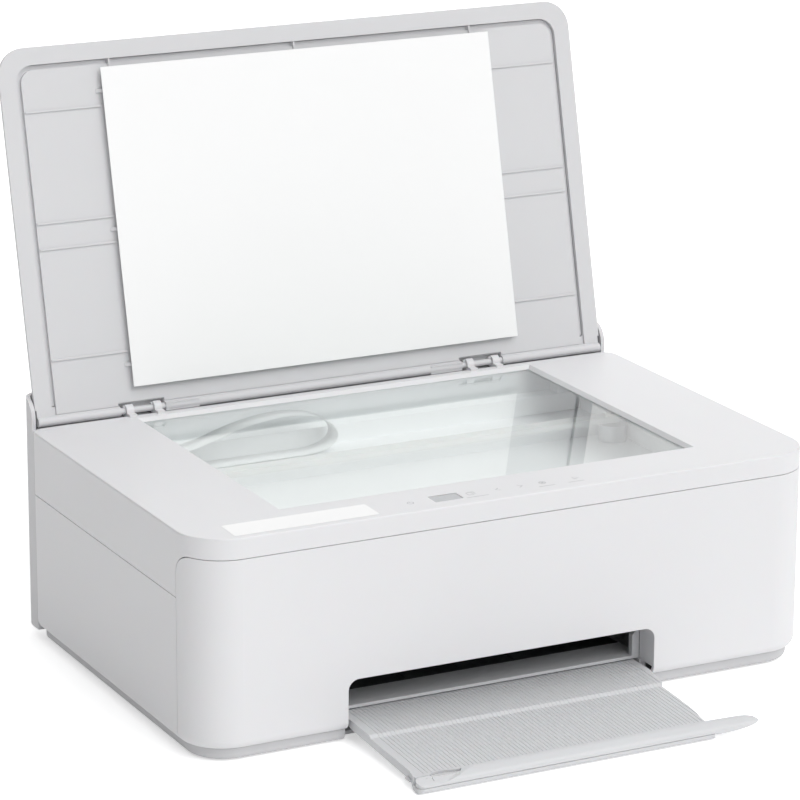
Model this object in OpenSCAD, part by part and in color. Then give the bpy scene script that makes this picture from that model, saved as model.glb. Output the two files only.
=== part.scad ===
/* [Body] */
// Width of the body across its side walls
body_w = 450; // [440:1:470]
// Height of the top deck above the table
deck_z = 148.5; // [146:0.5:156]
// Width of the deck behind the document glass
deck_rear = 10.8; // [8:0.1:22]
// Thickness of the moulded outer walls
wall = 2.5; // [2:0.1:3]
// Corner radius of the body in plan, at the front
front_r = 31; // [28:0.5:34]
// Corner radius of the body in plan, at the rear of the deck
rear_r = 9; // [8:0.5:12]
// Radius rolled under along the lower edge of the outer walls
lip_r = 6; // [5:0.5:7]
// Height of the underside of the outer walls
shell_z = 9.2; // [8.6:0.1:10]
// Height of the seam along both sides
side_seam_z = 104.5; // [100:0.5:106]
// Height of the seam across the front
front_seam_z = 134.5; // [130:0.5:137]
// Gap shown at every seam of the outer skin
seam = 0.5; // [0.4:0.1:0.8]
// Width of the sloping margins at the left and right of the deck
margin_w = 35; // [30:1:40]
// Depth of the sloping margin at the front of the deck
margin_d = 39; // [34:1:40]
// Fall of the sloping margins at the outer edge
margin_fall = 0.6; // [0.3:0.1:1]

/* [Base] */
// Inset of the grey base behind the outer walls
base_inset = 5.2; // [4.6:0.1:5.6]
// Thickness of the base floor
floor_t = 2.5; // [2:0.1:3]
// Radius rolled under along the lower edge of the base
base_r = 4; // [3:0.5:5]
// Diameter of each rubber foot
foot_d = 15; // [12:0.5:20]
// Height of the base above the table
foot_h = 1; // [0.8:0.1:1.6]

/* [Front door] */
// How far the door wraps back along the sides
door_d = 31.5; // [31:0.5:40]
// Radius of the door's rear upper corners
door_top_r = 15; // [10:0.5:20]
// Opening angle of the door
door_open = 75; // [60:1:75]
// Radius of the door's hinge pins
door_pin_r = 1.8; // [1.5:0.1:2]
// Distance of the door's hinges from the sides of the body
door_hinge_in = 37; // [35:1:55]

/* [Paper slot] */
// Width of the paper slot in the door
slot_w = 223.6; // [222:0.2:228]
// Middle of the paper path, measured from the middle of the body
path_x = -9.5; // [-12:0.5:-6]
// Height of the top of the slot
slot_top_z = 43; // [40:0.5:46]
// Corner radius of the slot
slot_r = 7.5; // [5:0.5:10]
// Depth of the flange that lines the slot
slot_flange = 13; // [10:0.5:13]

/* [Output tray] */
// Width of the output tray
tray_w = 217; // [212:0.5:218]
// Reach of the tray in front of the door
tray_reach = 92.5; // [85:0.5:96]
// Length of the tray inside the body
tray_tail = 95; // [85:1:100]
// Height of the tray's top face at the slot
tray_z = 14.5; // [14:0.1:14.8]
// Fall of the tray's top face from the slot to its front edge
tray_fall = 5.5; // [4:0.1:6]
// Height of the step across the tray
tray_step = 1.6; // [0.8:0.1:2]
// Thickness of the tray at the slot
tray_t = 6.1; // [5:0.1:7]
// Distance between the grooves in the tray
rib_pitch = 2.9; // [2.6:0.1:5]
// Depth of the grooves in the tray
rib_h = 0.3; // [0.2:0.05:0.5]
// Length of the swinging extender, from its pivot to its tip
extender_l = 240; // [228:1:242]
// How far the tray slides in
tray_travel = 78; // [60:1:78]

/* [Scanner] */
// Width of the document glass between its bezels
glass_w = 299; // [299:0.5:310]
// Depth of the document glass between its bezels
glass_l = 219; // [219:0.5:222]
// Thickness of the document glass
glass_t = 3; // [2.5:0.1:3.5]
// Middle of the glass, measured from the middle of the body
glass_x = 1.8; // [0:0.1:3]
// Distance of the glass behind the front face
glass_y = 42.7; // [42:0.1:43.5]
// Width of the bevel round the glass
bevel = 2.4; // [1.5:0.1:3]
// Height of the underside of the scanner's tub
tub_z = 105; // [104.8:0.1:106]
// Width of the scan head
head_w = 14; // [12:0.5:18]
// Travel of the scan head
scan_travel = 318; // [300:1:320]

/* [Lid] */
// Width of the lid
lid_w = 437; // [430:0.5:438]
// Length of the lid from its hinge to its front edge
lid_l = 251; // [245:0.5:255]
// Thickness of the lid
lid_t = 10; // [9.5:0.1:10.5]
// Corner radius of the lid at its front
lid_r = 19; // [17:0.5:22]
// Opening angle of the lid
lid_open = 103.3; // [90:0.1:104]
// Height of the hinge axis above the deck
hinge_rise = 2.2; // [2:0.1:2.6]
// Radius of the hinge barrel along the lid
barrel_r = 3.2; // [3:0.1:3.4]
// Radius of the bare rod between the hinge clips
rod_r = 2.2; // [1.8:0.1:2.4]
// Width of each hinge clip
clip_w = 5.5; // [5:0.5:7]
// Width of the white document pad
pad_w = 297.4; // [290:0.2:298]
// Length of the white document pad
pad_l = 217.5; // [210:0.5:218]
// Distance of the pad's face in front of the lid's rim
pad_out = 4.3; // [3.8:0.1:4.4]

/* [Printing] */
// Radius of the feed roller and of the exit roller
roller_r = 5; // [4.5:0.1:5.5]
// Distance of the feed roller behind the front face
feed_y = 160; // [158:0.5:162]
// Height of the feed roller's axis
feed_z = 38; // [37.5:0.1:38.5]
// Distance of the exit roller in front of the feed roller
roller_gap = 55; // [54.5:0.1:55.5]
// Teeth of the gears on both rollers
roller_teeth = 32; // [31:1:33]
// Teeth of the gear between them
idler_teeth = 26; // [25:1:27]
// Teeth of the motor's pinion
pinion_teeth = 14; // [13:1:15]
// Size of the gear teeth
tooth_m = 1; // [0.98:0.01:1.02]
// Radius of the rod that carries the print carriage
slide_rod_r = 4; // [3:0.1:4.5]
// Width of the print carriage
carriage_w = 92; // [84:1:96]
// Travel of the print carriage
carriage_travel = 250; // [200:1:255]
// Thickness of the sheet metal frame
sheet_t = 1.2; // [1:0.1:1.6]

/* [Rear feed] */
// Depth of the rear cover behind the deck
rear_d = 22.5; // [20:0.5:26]
// Height of the rear cover
rear_z = 167; // [162:0.5:168]
// Slope of the paper chute above the horizontal
chute_a = 62; // [60:0.5:64]
// Height of the top of the paper chute
chute_top_z = 157; // [150:1:160]
// Radius of the pickup roller
pickup_r = 14; // [12:0.5:14.5]
// Opening angle of the paper support
support_open = 150; // [120:1:155]

/* [Hidden] */
$fn = 48;
half_w = body_w / 2;
in_w = half_w - wall;
fit = 0.05;
seat = 0.3;
rest_gap = 0.4;
edge_r = 2;
tiny = 0.02;

// depth of the deck, from the front face to its rear edge
deck_d = glass_y + glass_l + deck_rear;

// lid and hinge
hinge_y = deck_d + barrel_r + 1.2;
hinge_z = deck_z + hinge_rise;
lid_half = lid_w / 2;
rim_w = 12;
groove_w = 3.4;
panel_z = 0.4;
tongue_z = 1.6;
tongue_y = -barrel_r - 0.6;
panel_t = 4.6;
lid_skin = 2.2;
lid_rib = 1.2;
lid_bevel = 9;
pad_low = 15.9;
pad_x0 = glass_x - pad_w / 2;
sheet_pad_t = 0.5;
foam_inset = 3;
clip_r = rod_r + fit + 2.1;
clip_mid = [-141, 121.2];
clip_gap = 20.6;
flat_l = 25;
flat_r = 2.9;
window_half = 16.5;

// base heights
floor_z = foot_h + floor_t;
rim_z = shell_z - seat;
base_y1 = deck_d - 3;
rib_w = 1.5;
foot_x = half_w - 35;
foot_y = [45, deck_d - 32.5];

// door hinge axis, at the middle of the rolled lower edge
door_y = lip_r;
door_z = shell_z + lip_r;
door_hinge_x = half_w - door_hinge_in;
lug_w = 5;
ear_w = 4;

// slot and tray
slot_x0 = path_x - slot_w / 2;
slot_x1 = path_x + slot_w / 2;
tray_x0 = path_x - tray_w / 2;
tray_x1 = path_x + tray_w / 2;
channel = tray_w / 2 + 3;
tray_front = -tray_reach;
tray_step_y = -22;
tray_lip_y = tray_front + 6.1;
tray_sheet = 1.6;
lip_r0 = 4.6;
lip_top = 4.2;
lip_x1 = tray_x1 - 8;
pivot_x = tray_x0 + 1.4;
pivot_y = tray_front + 0.1;
pivot_r = lip_r0 - 0.3;
spigot_r = 2.6;
blade_z = 10.4;
exit_z0 = tray_z + 1.1;
exit_t = 2;
exit_y1 = base_inset + 41;

// the printer stands centred on its footprint
lid_lean = 180 - lid_open;
back_y = hinge_y + (lid_l - lid_bevel) * cos(lid_lean) + lid_t * sin(lid_lean);
front_y = pivot_y - lip_r0;
mid_y = (back_y + front_y) / 2;

// scanner
bezel_z = deck_z - wall;
glass_lap = 7;
glass_z = bezel_z - glass_t;
tub_t = 2.2;
tub_floor = tub_z + tub_t;
tub_w = in_w - 30.5;
tub_y0 = glass_y - glass_lap - tub_t - seat;
tub_y1 = deck_d - wall - 1;
ledge_low = tub_z + 7;
ledge_high = tub_z + 20;
head_t = 12;
head_z = glass_z - head_t - 3;
head_x = 27 - tub_w;
head_y0 = glass_y - 3;
head_l = glass_l + 7;
scan_rail_y = tub_y1 - 58;
scan_rail_z = tub_floor + 9.8;
scan_belt_y = scan_rail_y - 21;
scan_pulley_r = 5;
scan_motor_r = 10;
scan_pulley_x = tub_w - tub_t - scan_motor_r - seat;
belt_t = 0.8;
belt_w = 4.2;
scan_belt_z = scan_rail_z + 4.4;

// printing
exit_y = feed_y - roller_gap;
exit_z = feed_z - 4;
exit_shaft_r = 3;
cheek_x = half_w - 19;
cheek_y0 = exit_y - 15;
back_wall_y = feed_y + 22;
frame_z0 = 12;
frame_z1 = tub_z - 7;
paper_z = feed_z + roller_r - 0.5;
gear_x = -cheek_x - 1;
gear_w = 5;
gear_play = 0.1;
pressure_a = 25;
roller_pr = tooth_m * roller_teeth / 2;
idler_pr = tooth_m * idler_teeth / 2;
pinion_pr = tooth_m * pinion_teeth / 2;
axis_gap = sqrt(pow(roller_gap, 2) + pow(feed_z - exit_z, 2));
axis_a = 180 + atan2(feed_z - exit_z, roller_gap);
idler_d = roller_pr + idler_pr;
idler_a = axis_a + acos(axis_gap / 2 / idler_d);
idler_y = feed_y + idler_d * cos(idler_a);
idler_z = feed_z + idler_d * sin(idler_a);
pinion_a = 120;
pinion_y = feed_y + (roller_pr + pinion_pr) * cos(pinion_a);
pinion_z = feed_z + (roller_pr + pinion_pr) * sin(pinion_a);
rod_y = feed_y + 15;
rod_z = 60;
belt_z = 75;
belt_y = rod_y - 3;
pulley_x = cheek_x - 11;
pulley_r = 6;
pinch_r = 4;
pinch_z = feed_z + roller_r + pinch_r + seat;
star_r = 4;
star_z = exit_z + roller_r + star_r + seat;
strip_y = feed_y + 5;
strip_z0 = belt_z + 9;
strip_z1 = strip_z0 + 8;

// print carriage, parked at the right, and the bays in it
carriage_x = cheek_x - carriage_w / 2 - 10;
carriage_z = paper_z + 2;
carriage_y0 = exit_y - 9;
carriage_y1 = feed_y + 10;
carriage_z0 = pinch_z + pinch_r + 3.7;
carriage_z1 = frame_z1 - 1;
bay_z = carriage_z0 + 3;
bay_y0 = carriage_y0 + 3;
bay_y1 = carriage_y1 - 10;
bay_w = carriage_w / 2 - 3.75;
bay_x = [2.5 - carriage_w / 2, 1.25];
nose_y0 = exit_y + 9;
nose_y1 = feed_y - 14;
nose_in = 5;

// paper chute: a straight plate, an arc and a flat plate, all tangent
chute_r = 45;
chute_t = 2;
chute_arc_y = feed_y + 67.6;
chute_end_y = chute_arc_y + chute_r * sin(chute_a);
chute_end_z = paper_z + chute_r * (1 - cos(chute_a));
chute_l = (chute_top_z - chute_end_z) / sin(chute_a);
chute_half = slot_w / 2 - 1;
platen_x1 = path_x + max(channel, chute_half) + 2;
pickup_y = chute_end_y - (pickup_r + rest_gap) * sin(chute_a);
pickup_z = chute_end_z + (pickup_r + rest_gap) * cos(chute_a);
rear_y0 = deck_d + seat;
rear_y1 = deck_d + rear_d;
rear_half = half_w - 3;
hopper_y = rear_y1 + 29;
hopper_half = chute_half + 5;
support_y = hopper_y + 3.5;
support_z = chute_top_z - 4;

// electrics
supply_y1 = base_y1 - base_r - 1;
supply_h = 40;
board_x1 = half_w - 17;
board_x0 = board_x1 - 90;
board_y = rear_y1 - wall - 8;
board_z0 = 26;
board_z1 = frame_z1;
inlet_x = 44 - half_w;
inlet_z = 27;
port_x = half_w - 69;
port_z = 45.5;

// ---------- shared forms ----------

// Moves what is drawn from the front face to the middle of the footprint
module placed() translate([0, -mid_y, 0]) children();

// A quarter turn of a wall section round a corner of radius r
module corner(r) rotate_extrude(angle = 90) translate([r, 0]) mirror([1, 0]) children();

// Sweeps a wall section round a rectangle with round corners. The section's x runs
// inward from the outer face and its y runs up.
module ring(hw, y0, y1, rf, rr) {
    for (s = [0, 1]) mirror([s, 0, 0]) {
        translate([-hw, y0 + rf, 0]) mirror([0, 1, 0]) rotate([90, 0, 0])
            linear_extrude(y1 - y0 - rf - rr) children();
        translate([-hw + rf, y0 + rf, 0]) rotate([0, 0, 180]) corner(rf) children();
        translate([-hw + rr, y1 - rr, 0]) rotate([0, 0, 90]) corner(rr) children();
    }
    translate([-hw + rf, y0, 0]) rotate([90, 0, 90]) linear_extrude(2 * (hw - rf)) children();
    translate([-hw + rr, y1, 0]) mirror([0, 1, 0]) rotate([90, 0, 90])
        linear_extrude(2 * (hw - rr)) children();
}

// Plan of a rectangle with round corners, rf at the front and rr at the rear
module plan(hw, y0, y1, rf, rr) {
    translate([-hw, y0 + rf]) square([2 * hw, y1 - y0 - rf - rr]);
    translate([-hw + rf, y0]) square([2 * (hw - rf), y1 - y0 - rr]);
    translate([-hw + rr, y0 + rf]) square([2 * (hw - rr), y1 - y0 - rf]);
    for (s = [-1, 1]) {
        translate([s * (hw - rf), y0 + rf]) circle(rf);
        translate([s * (hw - rr), y1 - rr]) circle(rr);
    }
}

// Extrudes a side view, drawn in (y, z), from x0 to x1
module across(x0, x1) translate([x0, 0, 0]) rotate([90, 0, 90]) linear_extrude(x1 - x0) children();

// Extrudes a front view, drawn in (x, z), from y0 to y1
module along(y0, y1) translate([0, y1, 0]) rotate([90, 0, 0]) linear_extrude(y1 - y0) children();

module round_rect(x0, y0, x1, y1, r) {
    translate([x0 + r, y0]) square([x1 - x0 - 2 * r, y1 - y0]);
    translate([x0, y0 + r]) square([x1 - x0, y1 - y0 - 2 * r]);
    for (x = [x0 + r, x1 - r]) for (y = [y0 + r, y1 - r]) translate([x, y]) circle(r);
}

module block(x0, x1, y0, y1, z0, z1) translate([x0, y0, z0]) cube([x1 - x0, y1 - y0, z1 - z0]);

// Round bar along x through the point (y, z)
module bar(x0, x1, y, z, r) translate([x0, y, z]) rotate([0, 90, 0]) cylinder(r = r, h = x1 - x0);

// Round bar along y through the point (x, z)
module rod(y0, y1, x, z, r) translate([x, y1, z]) rotate([90, 0, 0]) cylinder(r = r, h = y1 - y0);

// Outline of a belt over two round pulleys, l apart
module loop(l, r) {
    translate([-l / 2, -r]) square([l, 2 * r]);
    for (x = [-l / 2, l / 2]) translate([x, 0]) circle(r);
}

// ---------- outer body ----------

// Outer wall whose lower edge is rolled under
module rolled_wall(z_top) {
    translate([0, shell_z + lip_r]) square([wall, z_top - shell_z - lip_r]);
    intersection() {
        translate([lip_r, shell_z + lip_r]) difference() {
            circle(lip_r);
            circle(lip_r - wall);
        }
        translate([0, shell_z]) square(lip_r);
    }
}

// Side view of the room that the door takes, grown by g
module door_view(g) {
    r = door_top_r;
    top = front_seam_z - seam + g;
    translate([-1, 0]) square([door_d + g + 1, top - r]);
    translate([-1, 0]) square([door_d + g + 1 - r, top]);
    translate([door_d + g - r, top - r]) circle(r);
}

module base_pan() color("#c9cccd") placed() {
    hw = half_w - base_inset;
    rf = front_r - base_inset;
    rr = rear_r - 2;
    difference() {
        union() {
            ring(hw, base_inset, base_y1, rf, rr) {
                translate([0, foot_h + base_r]) square([floor_t, rim_z - foot_h - base_r]);
                intersection() {
                    translate([base_r, foot_h + base_r]) circle(base_r);
                    translate([0, foot_h]) square(base_r);
                }
            }
            translate([0, 0, foot_h]) linear_extrude(floor_t)
                plan(hw - base_r, base_inset + base_r, base_y1 - base_r, rf - base_r, rr - base_r + 0.5);
        }
        block(slot_x0, slot_x1, 0, base_inset + 9, 0, rim_z + 1);
        for (x = [-foot_x, foot_x]) for (y = foot_y)
            translate([x, y, 0]) cylinder(d = foot_d, h = foot_h + 1);
    }
    // guides at both sides of the output tray
    for (s = [-1, 1])
        block(path_x + s * channel - rib_w / 2, path_x + s * channel + rib_w / 2, base_inset + 12,
            back_wall_y - 6, floor_z - 1, exit_z0);
    // bosses under the sheet metal frame
    difference() {
        for (s = [-1, 1]) for (y = [cheek_y0 + 12, back_wall_y - 12])
            translate([s * (cheek_x - 8), y, floor_z - 1]) cylinder(r = 5, h = frame_z0 - floor_z + 1);
        screw_spots() cylinder(r = 1.5, h = frame_z0);
    }
    // ears that carry the door's pins
    for (s = [0, 1]) mirror([s, 0, 0]) {
        across(door_hinge_x + lug_w / 2 + 0.5, door_hinge_x + lug_w / 2 + 0.5 + ear_w) {
            translate([door_y, door_z]) circle(lip_r - wall - seat);
            translate([door_y, door_z]) rotate(30) translate([0, -2]) square([13, 4]);
            translate([door_y + 9, floor_z - 1]) square([6, door_z + 4.5 - floor_z]);
        }
        bar(door_hinge_x - lug_w / 2 - 0.5, door_hinge_x + lug_w / 2 + 1, door_y, door_z, door_pin_r);
    }
}

// The places of the screws that hold the frame down
module screw_spots() for (s = [-1, 1]) for (y = [cheek_y0 + 12, back_wall_y - 12])
    translate([s * (cheek_x - 8), y, floor_z]) children();

module rubber_feet() color("#3a3b3d") placed()
    for (x = [-foot_x, foot_x]) for (y = foot_y)
        translate([x, y, 0]) cylinder(d = foot_d - 0.1, h = foot_h + 1);

module lower_housing() color("#e9e9ea") placed() {
    difference() {
        ring(half_w, 0, deck_d, front_r, rear_r) rolled_wall(side_seam_z - seam);
        block(-half_w - 1, half_w + 1, -1, door_d + seam, 0, deck_z);
        block(-in_w + 25, in_w - 25, deck_d - 10, deck_d + 1, shell_z + 3 * lip_r, deck_z);
    }
    // ledges that carry the scanner, stepped behind the side seam
    for (s = [0, 1]) mirror([s, 0, 0]) along(door_d + 15, deck_d - 14)
        polygon([[in_w, side_seam_z - 9], [in_w, side_seam_z - 1.5], [in_w - 0.7, side_seam_z - 1.5],
            [in_w - 0.7, tub_z], [in_w - 8, tub_z], [in_w - 8, side_seam_z - 3]]);
}

module front_door() color("#ececee") placed() {
    difference() {
        intersection() {
            ring(half_w, 0, deck_d, front_r, rear_r) rolled_wall(front_seam_z - seam);
            across(-half_w - 1, half_w + 1) door_view(0);
        }
        along(-1, door_d) slot_view(0);
        // lower corner of the wrap, cut back to the arc on which it swings
        across(-half_w - 1, half_w + 1) difference() {
            translate([door_y, 0]) square([front_r, door_z]);
            translate([door_y, door_z]) circle(door_d - door_y);
        }
    }
    // flange lining the slot
    difference() {
        along(wall / 2, slot_flange) slot_view(wall);
        along(0, slot_flange + 1) slot_view(0);
    }
    // bearings on the hinge pins
    difference() {
        for (s = [-1, 1]) translate([s * door_hinge_x, 0, 0]) across(-lug_w / 2, lug_w / 2) {
            translate([door_y, door_z]) circle(lip_r - wall + seat);
            translate([wall / 2, door_z - 2]) square([door_y - wall / 2, 2 + lip_r - wall]);
        }
        bar(-half_w, half_w, door_y, door_z, door_pin_r + fit);
    }
}

// Front view of the slot, grown by g and open at the bottom
module slot_view(g) intersection() {
    round_rect(slot_x0 - g, shell_z - 20, slot_x1 + g, slot_top_z + g, slot_r + g);
    translate([slot_x0 - g, shell_z + (g > 0 ? lip_r : -1)]) square([slot_w + 2 * g, slot_top_z]);
}

module scanner_cover() color("#eaeaec") placed() {
    difference() {
        union() {
            ring(half_w, 0, deck_d, front_r, rear_r) {
                translate([0, side_seam_z]) square([wall, deck_z - side_seam_z - edge_r]);
                intersection() {
                    translate([edge_r, deck_z - edge_r]) circle(edge_r);
                    translate([0, deck_z - edge_r]) square(edge_r);
                }
                translate([edge_r, deck_z - edge_r]) square([wall - edge_r, edge_r]);
            }
            translate([0, 0, bezel_z]) linear_extrude(wall)
                plan(half_w - edge_r, edge_r, deck_d - edge_r, front_r - edge_r, rear_r - edge_r);
        }
        across(-half_w - 1, half_w + 1) door_view(seam);
        glass_hole();
        display_hole(0);
        // margins that slope down to the outer edges
        for (s = [0, 1]) mirror([s, 0, 0]) along(-1, deck_d + 1)
            polygon([[half_w - margin_w, deck_z], [half_w + 1, deck_z - margin_fall],
                [half_w + 1, deck_z + 1], [half_w - margin_w, deck_z + 1]]);
        across(-half_w - 1, half_w + 1) polygon([[margin_d, deck_z], [margin_d, deck_z + 1],
            [-1, deck_z + 1], [-1, deck_z - margin_fall]]);
    }
    for (x = clip_mid) for (s = [-1, 1]) hinge_clip(x + s * clip_gap / 2);
}

// Opening over the glass, wider at the top
module glass_hole() {
    top = deck_z + 1;
    run = bevel * (top - bezel_z) / wall;
    x0 = glass_x - glass_w / 2;
    intersection() {
        along(0, deck_d) polygon([[x0, bezel_z - 1], [x0 + glass_w, bezel_z - 1], [x0 + glass_w, bezel_z],
            [x0 + glass_w + run, top], [x0 - run, top], [x0, bezel_z]]);
        across(-half_w, half_w) polygon([[glass_y, bezel_z - 1], [glass_y + glass_l, bezel_z - 1],
            [glass_y + glass_l, bezel_z], [glass_y + glass_l + run, top], [glass_y - run, top],
            [glass_y, bezel_z]]);
    }
}

// Opening over the small display, shrunk by g
module display_hole(g) translate([0, 0, bezel_z - 1]) linear_extrude(wall + 2)
    round_rect(-54.7 + g, 10.8 + g, -34.3 - g, 22.9 - g, 1);

// Open hook on the deck that snaps over the rod of the lid
module hinge_clip(x) across(x - clip_w / 2, x + clip_w / 2) difference() {
    union() {
        translate([hinge_y, hinge_z]) circle(clip_r);
        translate([deck_d - 5, bezel_z + 0.5]) square([hinge_y - deck_d + 5, hinge_rise + 1.5]);
    }
    translate([hinge_y, hinge_z]) circle(rod_r + fit);
    translate([hinge_y, hinge_z]) rotate(65) translate([0, -rod_r * 0.8]) square([2 * clip_r, rod_r * 1.6]);
}

module display_window() color("#4d5156") placed() difference() {
    display_hole(0.2);
    block(-half_w, half_w, 0, margin_d, bezel_z - 2, bezel_z);
    block(-half_w, half_w, 0, margin_d, deck_z - margin_fall, deck_z + 3);
}

module control_board() color("#2f6b47") placed() {
    block(-80, 70, 8, 31, bezel_z - 4.1, bezel_z - 2.5);
    block(-57, -32, 9.5, 24, bezel_z - 2.5, bezel_z);
    for (x = [-73, -23, -7, 9, 25, 49])
        translate([x, 17, bezel_z - 2.5]) cylinder(r = 4, h = 2.5);
}

module rear_cover() color("#d5d6d9") placed() {
    low = foot_h + 4;
    r = 13;
    difference() {
        intersection() {
            linear_extrude(rear_z + 1) plan(rear_half, rear_y0, rear_y1, 1, 11);
            across(-rear_half - 1, rear_half + 1) {
                translate([rear_y0, low]) square([rear_d - seat - r, bezel_z - low]);
                translate([rear_y0, low + r]) square([rear_d - seat, bezel_z - low - r]);
                translate([rear_y1 - r, low + r]) circle(r);
                translate([rear_y1 - 5, bezel_z - 1]) square([5, rear_z - bezel_z + 1]);
                translate([rear_y1 - 19, bezel_z - 1]) square([19, rear_z - bezel_z - r]);
                translate([rear_y1 - 5, rear_z - r - 1]) circle(r + 1);
            }
        }
        // hollow inside, under the ledge
        intersection() {
            linear_extrude(bezel_z - wall)
                plan(rear_half - wall, rear_y0 - 1, rear_y1 - wall, 1, 11 - wall);
            across(-rear_half, rear_half) {
                translate([rear_y0 - 2, low + wall]) square([rear_d - r, bezel_z]);
                translate([rear_y0 - 2, low + r]) square([rear_d + 2, bezel_z]);
                translate([rear_y1 - r, low + r]) circle(r - wall);
            }
        }
        // open recess behind the lid, between the two ears
        translate([0, 0, bezel_z]) linear_extrude(rear_z)
            plan(rear_half - 2.8, rear_y0 - 1, rear_y1 - wall, 1, 9);
        // paper inlet, power inlet and data port
        block(path_x - chute_half - 1, path_x + chute_half + 1, rear_y0 + 8, rear_y1 + 1, 108,
            bezel_z - wall - 2);
        power_window(0.1);
        usb_window(0.1);
    }
}
module power_window(g) along(rear_y1 - 12, rear_y1 + 1)
    round_rect(inlet_x - 11 - g, inlet_z - 7 - g, inlet_x + 11 + g, inlet_z + 7 + g, 3);
module usb_window(g) block(port_x - 6 - g, port_x + 6 + g, rear_y1 - 12, rear_y1 + 1,
    port_z - 5.5 - g, port_z + 5.5 + g);

// ---------- scanner ----------

module scanner_tub() color("#8d9194") placed() {
    // floor, walls and the stepped ledges inside
    translate([0, 0, tub_z]) linear_extrude(tub_t) plan(in_w - 1, tub_y0, tub_y1, 2, rear_r);
    difference() {
        block(-tub_w, tub_w, tub_y0, tub_y1, tub_z, bezel_z);
        block(-tub_w + tub_t, tub_w - tub_t, tub_y0 + tub_t, tub_y1 - tub_t, tub_floor, bezel_z + 1);
    }
    block(-tub_w + 1, tub_w - 1, tub_y1 - 15, tub_y1 - 1, tub_z + 1, ledge_high);
    block(-tub_w + 1, tub_w - 1, tub_y1 - 37, tub_y1 - 1, tub_z + 1, ledge_low);
    block(tub_w - 20, tub_w - 1, tub_y1 - 13, tub_y1 - 1, tub_z + 1, glass_z - 3);
    // rail for the scan head
    block(-tub_w + 1, tub_w - 1, scan_rail_y - 6, scan_rail_y + 6, tub_z + 1, scan_rail_z);
    // post of the free belt pulley
    translate([-scan_pulley_x, scan_belt_y, tub_z + 1]) cylinder(r = 3, h = scan_belt_z - tub_z - 1.7);
    translate([-scan_pulley_x, scan_belt_y, tub_z + 1]) cylinder(r = 1.5, h = scan_belt_z - tub_z + belt_w);
}

module platen_glass() color("#bfd0d2", 0.5) placed()
    block(glass_x - glass_w / 2 - glass_lap, glass_x + glass_w / 2 + glass_lap, glass_y - glass_lap,
        tub_y1 - tub_t - seat, glass_z, bezel_z);

module scan_head() color("#4a4e52") placed() {
    difference() {
        block(head_x - head_w / 2, head_x + head_w / 2, head_y0, head_y0 + head_l, head_z, head_z + head_t);
        block(head_x - head_w / 2 + 3, head_x + head_w / 2 - 3, head_y0 + 4, head_y0 + head_l - 4,
            head_z + head_t - 2, head_z + head_t + 1);
    }
    // shoe that straddles the rail
    difference() {
        block(head_x - 12, head_x + 12, scan_rail_y - 9, scan_rail_y + 9, scan_rail_z - 5, head_z + 3);
        block(head_x - 13, head_x + 13, scan_rail_y - 6 - seat, scan_rail_y + 6 + seat,
            scan_rail_z - 6, scan_rail_z + seat);
    }
    // clip on the front run of the belt
    difference() {
        block(head_x - 5, head_x + 5, scan_belt_y - scan_pulley_r - 3, scan_belt_y - scan_pulley_r + 2,
            scan_belt_z - 1, head_z + 1);
        block(head_x - 6, head_x + 6, scan_belt_y - scan_pulley_r - fit - belt_t - seat,
            scan_belt_y - scan_pulley_r - fit + seat, scan_belt_z - 2, scan_belt_z + belt_w + seat);
    }
}

module scan_belt() color("#2c2d2e") placed() translate([0, scan_belt_y, scan_belt_z])
    linear_extrude(belt_w) difference() {
        loop(2 * scan_pulley_x, scan_pulley_r + fit + belt_t);
        loop(2 * scan_pulley_x, scan_pulley_r + fit);
    }

module scan_motor() color("#9ea2a4") placed() translate([scan_pulley_x, scan_belt_y, 0]) {
    translate([0, 0, tub_floor]) cylinder(r = scan_motor_r, h = scan_belt_z - tub_floor - 2);
    translate([0, 0, tub_floor]) cylinder(r = 1.5, h = scan_belt_z - tub_floor + belt_w + 0.8);
}

// Both pulleys of the scanner's belt
module scan_pulley() color("#d8d8d4") placed() translate([scan_pulley_x, scan_belt_y, scan_belt_z - 0.6])
    difference() {
        cylinder(r = scan_pulley_r, h = belt_w + 1.2);
        translate([0, 0, -1]) cylinder(r = 1.5 + 0.02, h = belt_w + 4);
    }

function bez(a, b, c, d, t) = pow(1 - t, 3) * a + 3 * pow(1 - t, 2) * t * b
    + 3 * (1 - t) * pow(t, 2) * c + pow(t, 3) * d;

// Flat ribbon cable: an arch that rises under the glass and folds back to the floor
module scan_cable() color("#e9eaea") placed() {
    x0 = head_x + head_w / 2;
    low = ledge_low + seat + 0.8;
    n = 14;
    top = glass_z - 1.5;
    crest = x0 + 110;
    rise = [for (i = [0:n])
        bez([x0, head_z + 2], [x0 + 40, head_z + 2], [crest - 47, top], [crest, top], i / n)];
    fold = [for (i = [1:n])
        bez([crest, top], [crest + 44, top], [crest + 46, low], [crest + 18, low], i / n)];
    line = concat(rise, fold, [[x0 + 12, low]]);
    last = len(line) - 1;
    dir = [for (i = [0:last]) line[min(i + 1, last)] - line[max(i - 1, 0)]];
    side = [for (i = [0:last]) [-dir[i][1], dir[i][0]] / norm(dir[i]) * 0.2];
    along(tub_y1 - 34, tub_y1 - 18)
        polygon(concat([for (i = [0:last]) line[i] + side[i]], [for (i = [last:-1:0]) line[i] - side[i]]));
}

// ---------- lid ----------

// The lid is drawn shut, with its hinge axis at the origin, and then opened
module lid_pose() translate([0, hinge_y, hinge_z]) rotate([-lid_open, 0, 0]) children();

module lid_plan(g) plan(lid_half - g, -lid_l + g, 3 - g, lid_r - g, max(4 - g, 1));

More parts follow.
